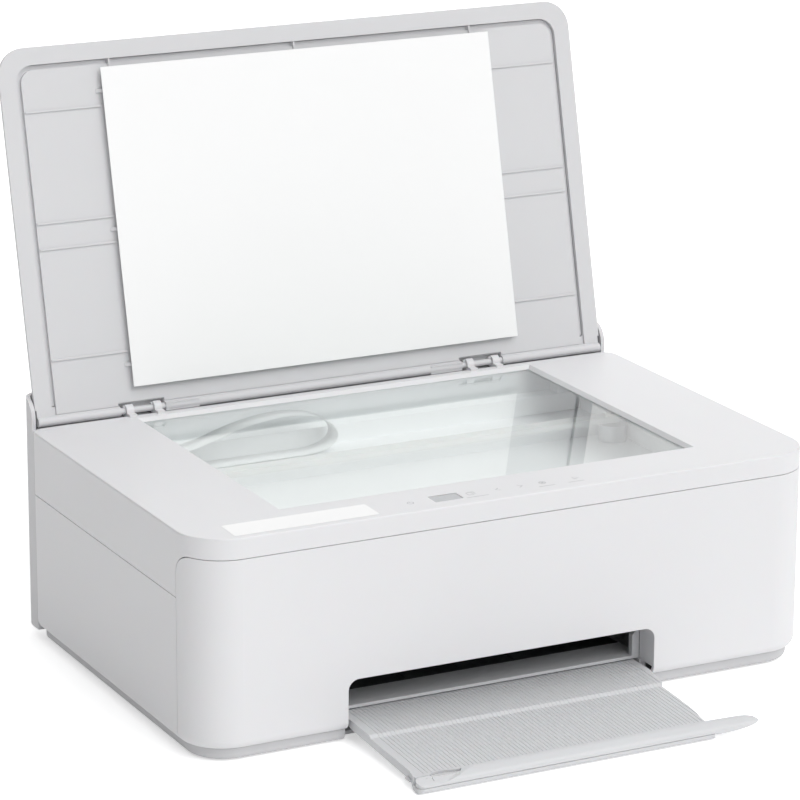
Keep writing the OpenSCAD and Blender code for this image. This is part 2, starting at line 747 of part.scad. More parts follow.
module lid_cover() color("#d5d6d9") placed() lid_pose() {
    lip = 2.4;
    difference() {
        union() {
            difference() {
                hull() {
                    linear_extrude(lip) lid_plan(0);
                    translate([0, 0, lid_t * 0.62]) linear_extrude(0.1) lid_plan(2.4);
                    translate([0, 0, lid_t - 0.1]) linear_extrude(0.1) lid_plan(lid_bevel);
                }
                // round back that swings past the deck
                translate([-half_w, -8, 0]) cube([body_w, 20, lid_t + 1]);
            }
            intersection() {
                across(-lid_half + 1, lid_half - 1) intersection() {
                    translate([-8, 0]) circle(11);
                    translate([-9, 0]) square([13, lid_t]);
                }
                block(-lid_half + lid_bevel, lid_half - lid_bevel, -9, 5, 0, lid_t);
            }
            bar(-lid_half + 1, lid_half - 1, 0, 0, barrel_r);
            block(-lid_half + 1, lid_half - 1, -9, 0, 0, 3);
        }
        translate([0, 0, -1]) linear_extrude(lid_t - lid_skin + 1)
            plan(lid_half - rim_w, -lid_l + rim_w, -9, lid_r - rim_w + 5, 2);
        block(-lid_half + rim_w, lid_half - rim_w, -12, tongue_y + 0.2, -1, tongue_z + 0.1);
        for (x = clip_mid) bar(x - window_half, x + window_half, 0, 0, clip_r + 1);
    }
    for (x = clip_mid) bar(x - window_half - 1, x + window_half + 1, 0, 0, rod_r);
    // square stretch of the barrel beside each pair of clips, level when the lid is open
    for (x = [clip_mid[0] + window_half, clip_mid[1] - window_half - flat_l]) rotate([lid_open, 0, 0])
        block(x, x + flat_l, -flat_r, flat_r, -flat_r, flat_r);
}

module liner_plan(g) plan(lid_half - rim_w - g, -lid_l + rim_w + g, -9 - g, lid_r - rim_w + 5 - g, 2);

module lid_liner() color("#d5d6d9") placed() lid_pose() {
    low = -lid_l + rim_w + groove_w + 1;
    face_w = lid_half - rim_w - groove_w;
    difference() {
        union() {
            translate([0, 0, panel_z]) linear_extrude(panel_t)
                plan(face_w, -lid_l + rim_w + groove_w, -9 - seat, lid_r - rim_w + 2, 2);
            translate([0, 0, panel_z + panel_t - 2]) linear_extrude(2) liner_plan(seat);
            // tongue that runs down to the hinge
            block(-face_w, face_w, -12, tongue_y, panel_z, tongue_z);
        }
        translate([0, 0, panel_z + 1.8]) linear_extrude(panel_t)
            plan(face_w - 2, low + 1, -12, lid_r - rim_w, 2);
        for (x = clip_mid) bar(x - window_half - 0.5, x + window_half + 0.5, 0, 0, clip_r + 1.5);
    }
    // ribs that show round the pad
    for (y = [-40.3, -115, -132.5, -207.6]) {
        y0 = y - lid_rib / 2;
        block(-face_w + 0.5, pad_x0 + 1.5, y0, y0 + lid_rib, panel_z - lid_rib, panel_z + 1);
        block(pad_x0 + pad_w - 1.5, face_w - 0.5, y0, y0 + lid_rib, panel_z - lid_rib, panel_z + 1);
    }
    for (x = [-138, 0, 138]) {
        x0 = x - lid_rib / 2;
        block(x0, x0 + lid_rib, low, -pad_low - pad_l + 1.5, panel_z - lid_rib, panel_z + 1);
    }
    // small hooks beside the pad
    for (y = [-30, -122.5, -216.5]) along(y - 2.4, y) polygon([[pad_x0 - 3.6, panel_z + 0.5],
        [pad_x0 - 3.4, panel_z - 0.4], [pad_x0 + 1.5, panel_z - 2.6], [pad_x0 + 1.5, panel_z + 0.5]]);
}

module pad_foam() color("#dddddd") placed() lid_pose()
    block(glass_x - pad_w / 2 + foam_inset, glass_x + pad_w / 2 - foam_inset, -pad_low - pad_l + foam_inset,
        -pad_low - foam_inset, -pad_out + sheet_pad_t, panel_z);

module pad_sheet() color("#f6f6f6") placed() lid_pose()
    block(glass_x - pad_w / 2, glass_x + pad_w / 2, -pad_low - pad_l, -pad_low, -pad_out,
        -pad_out + sheet_pad_t);

// ---------- output tray ----------

// Side view of the tray in front of the slot, its top face lowered by g
module tray_view(g) {
    edge_z = tray_z - tray_fall;
    lip_y = pivot_y - lip_r0;
    polygon([[tray_tail, tray_z - g], [2, tray_z - g], [tray_step_y, tray_z - 1 - g],
        [tray_step_y - 2.6, tray_z - 1 - tray_step - g], [tray_lip_y, edge_z - g],
        [tray_lip_y, lip_top], [lip_y, lip_top], [lip_y, 3.2], [lip_y + 0.5, 1.9], [lip_y + 1.4, 1],
        [lip_y + 2.6, 0.6], [tray_lip_y + 1, 0.6], [tray_lip_y + 5, 3.4], [0, tray_z - tray_t],
        [18, tray_z - 3], [tray_tail, tray_z - 3]]);
}

// Plan of the tray: its right edge bends in and its left edge flares out to the lip
module tray_plan() {
    polygon([[tray_x0, tray_tail], [tray_x1, tray_tail], [tray_x1, 0], [tray_x1 - 3.4, tray_step_y],
        [tray_x1 - 5, tray_step_y - 2.6], [tray_x1 - 5.3, -45], [tray_x1 - 6.3, -62],
        [tray_x1 - 7.7, -74], [tray_x1 - 9.6, tray_lip_y], [pivot_x, tray_lip_y],
        [pivot_x - lip_r0 + 1.2, tray_lip_y], [tray_x0, tray_lip_y + 9]]);
    // lip under the extender
    hull() {
        translate([pivot_x, pivot_y]) circle(lip_r0);
        translate([pivot_x - lip_r0 + 1.2, tray_lip_y]) square([5, 0.5]);
        translate([lip_x1 - 1, tray_lip_y]) square([1, 0.5]);
        translate([lip_x1 - 2.2, pivot_y - lip_r0 + 2.2]) circle(2.2);
    }
}

module output_tray() color("#cfd2d3") placed() {
    edge_z = tray_z - tray_fall;
    difference() {
        union() {
            intersection() {
                across(tray_x0 - 6, tray_x1 + 1) tray_view(0);
                linear_extrude(tray_z + 1) tray_plan();
            }
            // end of the top face beside the extender's cap
            block(tray_x0 - 1.2, pivot_x + 7.6, pivot_y + pivot_r + 0.4, tray_lip_y + 1,
                lip_top - 1, edge_z);
        }
        // grooves along the top face
        intersection() {
            across(tray_x0 + 4, tray_x1 - 2) difference() {
                tray_view(-1);
                tray_view(rib_h);
            }
            for (x = [tray_x0 + 5 : rib_pitch : tray_x1 - 4])
                block(x, x + rib_pitch * 0.42, tray_lip_y + 2.2, tray_tail, 0, tray_z + 2);
        }
        // open space between the tray and the extender's root
        intersection() {
            translate([pivot_x + 16.6, tray_lip_y - 23.1, lip_top + 0.1]) cylinder(r = 24.6, h = 8);
            block(pivot_x + 7.6, pivot_x + 26, tray_lip_y - 1, tray_lip_y + 3, lip_top + 0.1, tray_z);
        }
        block(pivot_x + 5, pivot_x + 43, tray_lip_y + 1.6, tray_lip_y + 21, -1, edge_z - tray_sheet);
        block(pivot_x + 5, pivot_x + 43, tray_lip_y - 1, tray_lip_y + 2, lip_top + 0.1,
            edge_z - tray_sheet);
        // fine line near the end of the extender
        block(tray_x1 - 37, tray_x1 - 22, tray_lip_y + 1.1, tray_lip_y + 1.5, edge_z - 0.3, tray_z);
        // socket of the extender
        translate([pivot_x, pivot_y, 1.5]) cylinder(r = spigot_r + fit, h = tray_z);
    }
    // stop on the left edge
    block(tray_x0 - 2.2, tray_x0 + 1, tray_lip_y + 4.4, tray_lip_y + 10.6, 3.9, 5.3);
    // runners inside the body
    for (x = [tray_x0, tray_x1 - 4]) block(x, x + 4, tray_tail - 33, tray_tail, floor_z + seat, tray_z - 2);
}

// Front view of the blade: an S-shaped rise from the cap and a long round tip
module blade_view() {
    n = 12;
    low_x = lip_x1 - pivot_x + 0.8;
    tip_l = extender_l - low_x;
    polygon(concat([[0, lip_top + seat], [0, 5.8], [8, 5.8]],
        [for (i = [1:n]) [8 + 30 * i / n, 5.8 + (blade_z - 5.8) * (1 - cos(180 * i / n)) / 2]],
        [[extender_l - 30, blade_z - 0.3], [extender_l - 6, blade_z - 0.9],
            [extender_l - 1.6, blade_z - 1.3], [extender_l, blade_z - 2.2]],
        [for (i = [1:n])
            [extender_l - tip_l * (1 - cos(90 * i / n)), blade_z - 2.2 - 4.6 * sin(90 * i / n)]],
        [[low_x, lip_top + seat]]));
}

module tray_extender() color("#cfd2d3") placed() translate([pivot_x, pivot_y, 0]) {
    low = lip_top + seat;
    translate([0, 0, 1.5]) cylinder(r = spigot_r, h = 4);
    difference() {
        // cap and the flat behind the root of the blade, falling to the front
        intersection() {
            union() {
                translate([0, 0, low]) cylinder(r = pivot_r, h = 6);
                block(0, 7.6, -pivot_r, pivot_r, low, 10);
                block(7, 33, -pivot_r + 0.1, 2.4, low, 10);
            }
            across(-6, 34) polygon([[4.4, low], [4.4, 8.8], [2.4, 8.3], [-3.2, 6.3], [-4, 5.6],
                [-4.6, low]]);
        }
        translate([7.2, -1, 4]) cube([0.4, 6, 6]);
        translate([3.9, 2.1, 8]) cylinder(r = 0.5, h = 2);
    }
    block(6.8, 8, -3.4, 3.4, low, 6);
    // leaf that leans back over the lip
    intersection() {
        across(3, extender_l + 2) polygon([[5.3, blade_z], [3.9, blade_z], [1.4, blade_z - 0.5],
            [-0.9, blade_z - 1.4], [-2.6, 8], [-3.7, 6.6], [-4.2, 5.2], [-4.2, 3.4], [-2.6, 3.4],
            [-2.4, 5.4], [-1.4, 6.9], [0.2, 8], [2.4, blade_z - 1.3], [5.3, blade_z - 0.8]]);
        along(-12, 12) blade_view();
    }
}

module exit_frame() color("#c3c6c8") placed() {
    x0 = path_x - channel - rib_w / 2;
    x1 = path_x + channel + rib_w / 2;
    block(x0, x1, base_inset + 14.8, exit_y1, exit_z0, exit_z0 + exit_t);
    for (s = [0, 1]) translate([2 * path_x * (1 - s), 0, 0]) mirror([1 - s, 0, 0])
        along(base_inset + 14.8, base_inset + 19)
            polygon([[x1 - 5.5, exit_z0 + 1], [x1, exit_z0 + 1], [x1, 46], [x1 - 3, 46],
                [x1 - 3, 34], [x1 - 5.5, 32]]);
}

// Dark paper guide between the exit frame and the rollers
module exit_guide() color("#3a3d40") placed() {
    x0 = path_x - channel - rib_w / 2;
    x1 = path_x + channel + rib_w / 2;
    difference() {
        block(x0, x1, exit_y1 + seat, cheek_y0 - 2, exit_z0, exit_z0 + exit_t);
        // shallow troughs along the paper's way
        for (x = [path_x - 100 : 40 : path_x + 100])
            block(x - 14, x + 14, exit_y1 + 3, cheek_y0 - 5, exit_z0 + exit_t - 0.6, exit_z0 + exit_t + 1);
    }
}

// ---------- print engine ----------

module chassis() color("#b4b8ba") placed() {
    difference() {
        union() {
            // rear wall with a folded top edge
            block(-cheek_x, cheek_x, back_wall_y, back_wall_y + sheet_t, frame_z0, frame_z1);
            block(-cheek_x, cheek_x, back_wall_y - 9, back_wall_y + sheet_t, frame_z1 - sheet_t, frame_z1);
            for (s = [0, 1]) mirror([s, 0, 0]) {
                across(cheek_x - sheet_t, cheek_x) polygon([[cheek_y0, frame_z0],
                    [back_wall_y + sheet_t, frame_z0], [back_wall_y + sheet_t, frame_z1],
                    [cheek_y0 + 22, frame_z1], [cheek_y0, frame_z1 - 36]]);
                block(cheek_x - 15, cheek_x, cheek_y0 + 2, back_wall_y + sheet_t, frame_z0,
                    frame_z0 + sheet_t);
            }
            bar(-cheek_x - gear_w - 1.6, -cheek_x + 1, idler_y, idler_z, exit_shaft_r);
        }
        bar(-half_w, half_w, feed_y, feed_z, roller_r + fit);
        bar(-half_w, half_w, exit_y, exit_z, exit_shaft_r + fit);
        bar(-half_w, half_w, rod_y, rod_z, slide_rod_r);
        bar(-half_w, 0, pinion_y, pinion_z, 3);
        rod(back_wall_y - 1, back_wall_y + 9, pulley_x, belt_z, 3);
        block(path_x - chute_half - 4, path_x + chute_half + 4, back_wall_y - 1, back_wall_y + 9,
            paper_z - 6, paper_z + 14);
        screw_spots() cylinder(r = 1.6, h = 20);
        for (x = [56 - cheek_x : 55 : cheek_x - 60]) translate([x, 0, frame_z1 - 16])
            along(back_wall_y - 1, back_wall_y + 9) circle(5);
    }
    // pin of the free belt pulley
    rod(belt_y - 1, back_wall_y + 1, -pulley_x, belt_z, 2);
}

module frame_screws() color("#8f9496") placed() screw_spots() {
    cylinder(r = 1.45, h = frame_z0 - floor_z + sheet_t);
    difference() {
        translate([0, 0, frame_z0 - floor_z + sheet_t]) cylinder(r = 3, h = 2);
        translate([0, 0, frame_z0 - floor_z + sheet_t + 1.2]) linear_extrude(2) {
            square([3.6, 0.8], center = true);
            square([0.8, 3.6], center = true);
        }
    }
}

module slide_rod() color("#d9dcde") placed() bar(-cheek_x - 1, cheek_x + 1, rod_y, rod_z, slide_rod_r);

module carriage() color("#3c3f43") placed() translate([carriage_x, 0, 0]) {
    hw = carriage_w / 2;
    difference() {
        union() {
            across(-hw, hw) polygon([[carriage_y0, carriage_z1], [carriage_y0, carriage_z0 + 9],
                [carriage_y0 + 9, carriage_z0], [carriage_y1, carriage_z0], [carriage_y1, carriage_z1]]);
            for (x = [-hw, hw - 12]) bar(x, x + 12, rod_y, rod_z, slide_rod_r + 2.5);
            for (x = [-hw, hw - 12]) block(x, x + 12, carriage_y1 - 4, rod_y, carriage_z0 + 1, rod_z + 4);
            block(-8, 8, carriage_y1 - 2, rod_y + 4.5, belt_z - pulley_r - 3, belt_z - pulley_r + 2);
        }
        bar(-hw - 1, hw + 1, rod_y, rod_z, slide_rod_r + fit);
        // two bays for the cartridges, each open below for the print head
        for (x = bay_x) {
            block(x, x + bay_w, bay_y0, bay_y1, bay_z, carriage_z1 + 1);
            block(x + 4, x + bay_w - 4, carriage_y0 - 1, bay_y0 + 1, carriage_z1 - 15, carriage_z1 + 1);
            block(x + nose_in, x + bay_w - nose_in, nose_y0 - rest_gap, nose_y1 + rest_gap,
                carriage_z0 - 1, bay_z + 1);
        }
        // slots round the encoder strip and the belt
        block(-hw - 1, hw + 1, strip_y - 1.2, strip_y + 1.2, strip_z0 - 2, carriage_z1 + 1);
        block(-9, 9, belt_y - 0.4, belt_y + 5.4, belt_z - pulley_r - fit - belt_t - seat,
            belt_z - pulley_r - fit + seat);
    }
}

// Ink cartridge in the bay that starts at x, with the print head on its nose
module cartridge(x) translate([carriage_x, 0, 0]) {
    y0 = bay_y0 + rest_gap;
    y1 = bay_y1 - rest_gap;
    top = carriage_z1 - 2;
    across(x + rest_gap, x + bay_w - rest_gap) polygon([[y0, top - 2], [y0, bay_z + 8], [y0 + 5, bay_z],
        [y1, bay_z], [y1, top - 5], [y1 - 10, top], [y0 + 9, top]]);
    block(x + nose_in + rest_gap, x + bay_w - nose_in - rest_gap, nose_y0, nose_y1, carriage_z, bay_z + 1);
    block(x + 12, x + bay_w - 12, y0 - 4, y0 + 0.2, top - 9, top - 4);
}
module black_cartridge() color("#2b2c2e") placed() cartridge(bay_x[1]);
module colour_cartridge() color("#44474b") placed() cartridge(bay_x[0]);

module carriage_belt() color("#2c2d2e") placed() translate([0, 0, belt_z]) along(belt_y, belt_y + 5)
    difference() {
        loop(2 * pulley_x, pulley_r + fit + belt_t);
        loop(2 * pulley_x, pulley_r + fit);
    }

module belt_pulley(x) difference() {
    rod(belt_y - 0.6, belt_y + 5.6, x, belt_z, pulley_r);
    rod(belt_y - 2, belt_y + 8, x, belt_z, 2 + (x < 0 ? fit : 0.02));
}
module drive_pulley() color("#d8d8d4") placed() belt_pulley(pulley_x);
module idler_pulley() color("#d8d8d4") placed() belt_pulley(-pulley_x);

module carriage_motor() color("#9ea2a4") placed() {
    rod(back_wall_y + sheet_t, back_wall_y + 27, pulley_x, belt_z, 13);
    rod(belt_y - 1, back_wall_y + 2, pulley_x, belt_z, 2);
    rod(back_wall_y + 27, back_wall_y + 29, pulley_x, belt_z, 4);
}

module encoder_strip() color("#c9d3d6", 0.7) placed()
    block(-cheek_x + sheet_t, cheek_x - sheet_t, strip_y - 0.2, strip_y + 0.2, strip_z0, strip_z1);

// Angle by which a tooth reaches beyond its own middle line at radius r
function inv(a) = tan(a) * 180 / PI - a;
function half_tooth(n, r) = 90 / n - gear_play / 2 / (tooth_m * n / 2) * 180 / PI
    + inv(pressure_a) - inv(acos(min(1, tooth_m * n / 2 * cos(pressure_a) / r)));

// Involute gear with a tooth at angle a
module gear(n, a) {
    rp = tooth_m * n / 2;
    rb = rp * cos(pressure_a);
    radii = [rp - 1.2 * tooth_m, max(rb, rp - 0.9 * tooth_m), rp - 0.3 * tooth_m,
        rp + 0.35 * tooth_m, rp + tooth_m];
    flank = [for (r = radii) [r, half_tooth(n, max(r, rb))]];
    polygon([for (k = [0:n - 1]) for (i = [0:9]) let(p = flank[i < 5 ? i : 9 - i])
        p[0] * [cos(a + k * 360 / n + (i < 5 ? -1 : 1) * p[1]),
            sin(a + k * 360 / n + (i < 5 ? -1 : 1) * p[1])]]);
}

// Angle of a tooth on a gear with n2 teeth that meshes at direction d with a gear
// of n1 teeth that has a tooth at angle a
function mesh(n1, a, n2, d) = d + 180 + (0.5 + (d - a) * n1 / 360 - floor((d - a) * n1 / 360)) * 360 / n2;

idler_phase = mesh(roller_teeth, 0, idler_teeth, idler_a);
exit_dir = atan2(exit_z - idler_z, exit_y - idler_y);

module wheel(y, z, n, a, r) translate([0, y, z]) difference() {
    across(gear_x - gear_w, gear_x) gear(n, a);
    bar(gear_x - gear_w - 1, gear_x + 1, 0, 0, r);
    if (n > 20) for (k = [0:4]) rotate([k * 72, 0, 0])
        bar(gear_x - gear_w - 1, gear_x + 1, tooth_m * n / 2 * 0.62, 0, 2.2);
}

module feed_gear() color("#e4e2da") placed() wheel(feed_y, feed_z, roller_teeth, 0, roller_r + 0.02);
module exit_gear() color("#e4e2da") placed() wheel(exit_y, exit_z, roller_teeth,
    mesh(idler_teeth, idler_phase, roller_teeth, exit_dir), exit_shaft_r + 0.02);
module idler_gear() color("#e4e2da") placed()
    wheel(idler_y, idler_z, idler_teeth, idler_phase, exit_shaft_r + fit);
module motor_pinion() color("#c9a458") placed() wheel(pinion_y, pinion_z, pinion_teeth,
    mesh(roller_teeth, 0, pinion_teeth, pinion_a), 1.5 + 0.02);

module feed_motor() color("#9ea2a4") placed() {
    bar(-cheek_x + sheet_t, -cheek_x + 24, pinion_y, pinion_z, 12);
    bar(gear_x - gear_w - 0.5, -cheek_x + 1, pinion_y, pinion_z, 1.5);
}

module feed_roller() color("#55585b") placed()
    bar(gear_x - gear_w - 1, cheek_x + 2, feed_y, feed_z, roller_r);

module exit_roller() color("#3f4245") placed() {
    bar(gear_x - gear_w - 1, cheek_x + 2, exit_y, exit_z, exit_shaft_r);
    for (i = [-2.5:2.5]) bar(path_x + i * 38 - 7, path_x + i * 38 + 7, exit_y, exit_z, roller_r);
}

module pinch_rollers() color("#2f3133") placed() {
    bar(path_x - chute_half, path_x + chute_half, feed_y, pinch_z, 1.5);
    for (i = [-1.5:1.5]) bar(path_x + i * 56 - 11, path_x + i * 56 + 11, feed_y, pinch_z, pinch_r);
}

module pinch_holder() color("#4a4d50") placed() difference() {
    union() {
        block(path_x - chute_half - 10, path_x + chute_half + 10, back_wall_y - 3, back_wall_y, 46, 52);
        for (i = [-1:1]) across(path_x + i * 56 - 4, path_x + i * 56 + 4) {
            translate([feed_y, pinch_z]) circle(3.3);
            translate([feed_y, pinch_z]) square([back_wall_y - feed_y - 1, 3.3]);
        }
    }
    bar(-half_w, half_w, feed_y, pinch_z, 1.5 + fit);
}

module star_wheels() color("#8f9496") placed() {
    bar(path_x - chute_half, path_x + chute_half, exit_y, star_z, 1);
    for (i = [-2.5:2.5]) bar(path_x + i * 38 - 3, path_x + i * 38 + 3, exit_y, star_z, star_r);
}

module star_bar() color("#a8acae") placed() difference() {
    union() {
        block(-cheek_x + sheet_t, cheek_x - sheet_t, exit_y - 8, exit_y - 2, star_z + star_r + 0.6,
            star_z + star_r + 2.4);
        for (i = [-2:2]) across(path_x + i * 38 - 2, path_x + i * 38 + 2) {
            translate([exit_y, star_z]) circle(2.4);
            translate([exit_y - 6, star_z]) square([6, star_r + 1]);
        }
    }
    bar(-half_w, half_w, exit_y, star_z, 1 + fit);
}

module platen() color("#3a3c3f") placed() {
    block(-cheek_x + sheet_t, platen_x1, exit_y + 7, feed_y - 8, feed_z - 4, feed_z);
    for (x = [path_x - chute_half : 13 : path_x + chute_half])
        block(x, x + 1.6, exit_y + 8, feed_y - 9, feed_z - 1, paper_z);
}

module service_station() color("#35383b") placed() {
    x0 = platen_x1;
    block(x0, cheek_x - sheet_t, exit_y + 7, feed_y - 8, frame_z0 + sheet_t, feed_z);
    block(x0, cheek_x - 17, exit_y + 7, feed_y - 8, floor_z, feed_z);
    for (x = [carriage_x - 24, carriage_x + 23]) difference() {
        block(x - 9, x + 9, exit_y + 12, feed_y - 18, feed_z - 1, carriage_z - seat);
        block(x - 7.4, x + 7.4, exit_y + 13.6, feed_y - 19.6, carriage_z - 2.5, carriage_z);
    }
}

module ink_absorber() color("#d9d8d2") placed() difference() {
    block(path_x + channel + 4, cheek_x - 18, 40, exit_y - 8, floor_z, floor_z + 12);
    block(path_x + channel + 6, cheek_x - 20, 42, exit_y - 10, floor_z + 8, floor_z + 13);
}

// ---------- rear feed ----------

module paper_chute() color("#d0d3d5") placed() {
    across(path_x - chute_half, path_x + chute_half) {
        translate([feed_y + 11, paper_z - chute_t]) square([chute_arc_y - feed_y - 11, chute_t]);
        translate([chute_arc_y, paper_z + chute_r]) intersection() {
            difference() {
                circle(chute_r + chute_t);
                circle(chute_r);
            }
            polygon([[0, 0], [0, -2 * chute_r], [2 * chute_r * sin(chute_a), -2 * chute_r],
                [3 * chute_r * sin(chute_a), -3 * chute_r * cos(chute_a)]]);
        }
        translate([chute_end_y, chute_end_z]) rotate(chute_a) translate([-tiny, -chute_t])
            square([chute_l, chute_t]);
    }
    for (s = [-1, 1]) across(path_x + s * (chute_half - 1) - 1, path_x + s * (chute_half - 1) + 1)
        translate([chute_end_y, chute_end_z]) rotate(chute_a) translate([24, -1])
            square([chute_l - 30, 11]);
    // feet on the base
    for (x = [path_x - chute_half, path_x + chute_half - 3])
        block(x, x + 3, back_wall_y + 6, chute_arc_y, floor_z, paper_z - 1);
}

module paper_hopper() color("#d5d6d9") placed() {
    low = 96;
    difference() {
        across(path_x - hopper_half, path_x + hopper_half) {
            translate([rear_y1, low]) square([hopper_y - rear_y1 - 12, chute_top_z + 1 - low]);
            translate([rear_y1, low + 12]) square([hopper_y - rear_y1, chute_top_z - 11 - low]);
            translate([hopper_y - 12, low + 12]) circle(12);
        }
        across(path_x - hopper_half + wall, path_x + hopper_half - wall) {
            translate([rear_y1 - 1, low + wall]) square([hopper_y - rear_y1 - 11, chute_top_z]);
            translate([rear_y1 - 1, low + 12]) square([hopper_y - rear_y1 + 1 - wall, chute_top_z]);
            translate([hopper_y - 12, low + 12]) circle(12 - wall);
        }
    }
    // bridges that hold the chute's plate
    for (s = [-1, 1]) across(path_x + s * (hopper_half - 4) - 2, path_x + s * (hopper_half - 4) + 2)
        translate([chute_end_y, chute_end_z]) rotate(chute_a) translate([chute_l - 26, -chute_t - 3])
            square([22, 3]);
    // pivots of the paper support
    for (s = [-1, 1]) {
        across(path_x + s * (hopper_half - 3) - 2, path_x + s * (hopper_half - 3) + 2) {
            translate([support_y, support_z]) circle(2.6);
            translate([hopper_y - 1, support_z - 2.6]) square([support_y - hopper_y + 1, 5.2]);
        }
        bar(path_x + s * (hopper_half - 7.5) - 3.5, path_x + s * (hopper_half - 7.5) + 3.5, support_y,
            support_z, 1.5);
    }
}

module paper_support() color("#d5d6d9") placed() {
    hw = hopper_half - 6;
    difference() {
        union() {
            bar(path_x - hw, path_x + hw, support_y, support_z, 2.6);
            across(path_x - hw, path_x + hw) translate([support_y, support_z - 88]) square([2.2, 88]);
            across(path_x - 20, path_x + 20) translate([support_y, support_z - 88]) square([3.4, 10]);
        }
        for (s = [-1, 1]) bar(path_x + s * (hopper_half - 6) - 7, path_x + s * (hopper_half - 6) + 7,
            support_y, support_z, 1.5 + fit);
    }
}

// Sliding side guide; a tongue runs along the groove at the top of the chute
module width_guide() color("#c3c6c8") placed() {
    x = path_x - chute_half + 6;
    across(x, x + 3) translate([chute_end_y, chute_end_z]) rotate(chute_a)
        translate([chute_l - 34, seat]) square([30, 9]);
    across(x, x + 14) translate([chute_end_y, chute_end_z]) rotate(chute_a)
        translate([chute_l - 34, seat]) square([30, 1.4]);
}

module pickup_roller() color("#4b4e51") placed() difference() {
    union() {
        bar(path_x - 12, path_x + 12, pickup_y, pickup_z, pickup_r);
        bar(path_x - 30, path_x + 30, pickup_y, pickup_z, 3);
    }
    for (k = [0:3]) translate([0, pickup_y, pickup_z]) rotate([k * 90, 0, 0])
        bar(path_x - 13, path_x + 13, pickup_r * 0.6, 0, 2.4);
}

// Bracket on the frame that carries the pickup roller
module pickup_arm() color("#c6c8c8") placed() difference() {
    across(path_x - 26, path_x + 26) {
        translate([pickup_y, pickup_z]) circle(6);
        translate([back_wall_y + sheet_t, pickup_z - 5]) square([pickup_y - back_wall_y - sheet_t, 10]);
    }
    block(path_x - 20, path_x + 20, pickup_y - 20, pickup_y + 20, pickup_z - 20, pickup_z + 20);
    bar(-half_w, half_w, pickup_y, pickup_z, 3 + fit);
}

// ---------- electrics ----------

module main_board() color("#2f6b47") placed() {
    y = board_y;
    face = y - 1.6;
    block(board_x0, board_x1, face, y, board_z0, board_z1);
    for (x = [board_x0 + 4, board_x1 - 4]) for (z = [board_z0 + 4, board_z1 - 4])
        rod(y, rear_y1 - wall, x, z, 2.5);
    block(port_x - 6, port_x + 18, face - 2.4, face, board_z0 + 36, board_z0 + 58);
    block(board_x1 - 24, board_x1 - 10, face - 4.4, face, board_z0 + 8, board_z0 + 30);
    for (i = [0:3]) block(board_x0 + 6 + 6 * i, board_x0 + 9 + 6 * i, face - 6.4, face,
        board_z0 + 10, board_z0 + 20);
}

module usb_port() color("#aeb2b4") placed() difference() {
    usb_window(-0.1);
    block(port_x - 4.4, port_x + 4.4, rear_y1 - 8, rear_y1 + 2, port_z - 3.9, port_z + 3.9);
    block(port_x - 16, port_x + 14, rear_y1, rear_y1 + 2, port_z - 16, port_z + 15);
    block(port_x - 16, port_x + 14, 0, board_y, port_z - 16, port_z + 15);
}

module power_supply() color("#3f4245") placed() difference() {
    x0 = -cheek_x + 2;
    top = floor_z + supply_h;
    block(x0, path_x - chute_half - 8, back_wall_y + 12, supply_y1, floor_z, top);
    for (i = [0:7])
        block(x0 + 10 + i * 8, x0 + 13 + i * 8, back_wall_y + 18, supply_y1 - 8, top - 3, top + 1);
}

module power_inlet() color("#27282a") placed() {
    difference() {
        power_window(-0.1);
        along(rear_y1 - 9, rear_y1 + 2) {
            for (s = [-4, 4]) translate([inlet_x + s, inlet_z]) circle(3.6);
            translate([inlet_x - 4, inlet_z - 1.6]) square([8, 3.2]);
        }
        block(inlet_x - 19, inlet_x + 21, rear_y1, rear_y1 + 2, inlet_z - 17, inlet_z + 13);
    }
    for (s = [-4, 4]) rod(rear_y1 - 11, rear_y1 - 2, inlet_x + s, inlet_z, 1.2);
}

base_pan();
rubber_feet();
lower_housing();
front_door();
scanner_cover();
scanner_tub();
platen_glass();
display_window();
control_board();
lid_cover();
lid_liner();
pad_foam();
pad_sheet();
rear_cover();
paper_hopper();
paper_chute();
paper_support();
width_guide();
output_tray();
tray_extender();
exit_frame();
exit_guide();
chassis();
frame_screws();
carriage();
black_cartridge();
colour_cartridge();
slide_rod();
carriage_belt();
carriage_motor();
drive_pulley();
idler_pulley();
encoder_strip();
feed_roller();
feed_gear();
exit_roller();
exit_gear();
idler_gear();
motor_pinion();
feed_motor();
pinch_rollers();
pinch_holder();
star_wheels();
star_bar();
platen();
service_station();
ink_absorber();
pickup_roller();
pickup_arm();
main_board();
power_supply();
power_inlet();
usb_port();
scan_head();
scan_cable();
scan_belt();
scan_motor();
scan_pulley();
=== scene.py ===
import math

import bmesh
import bpy
from mathutils import Matrix, Vector


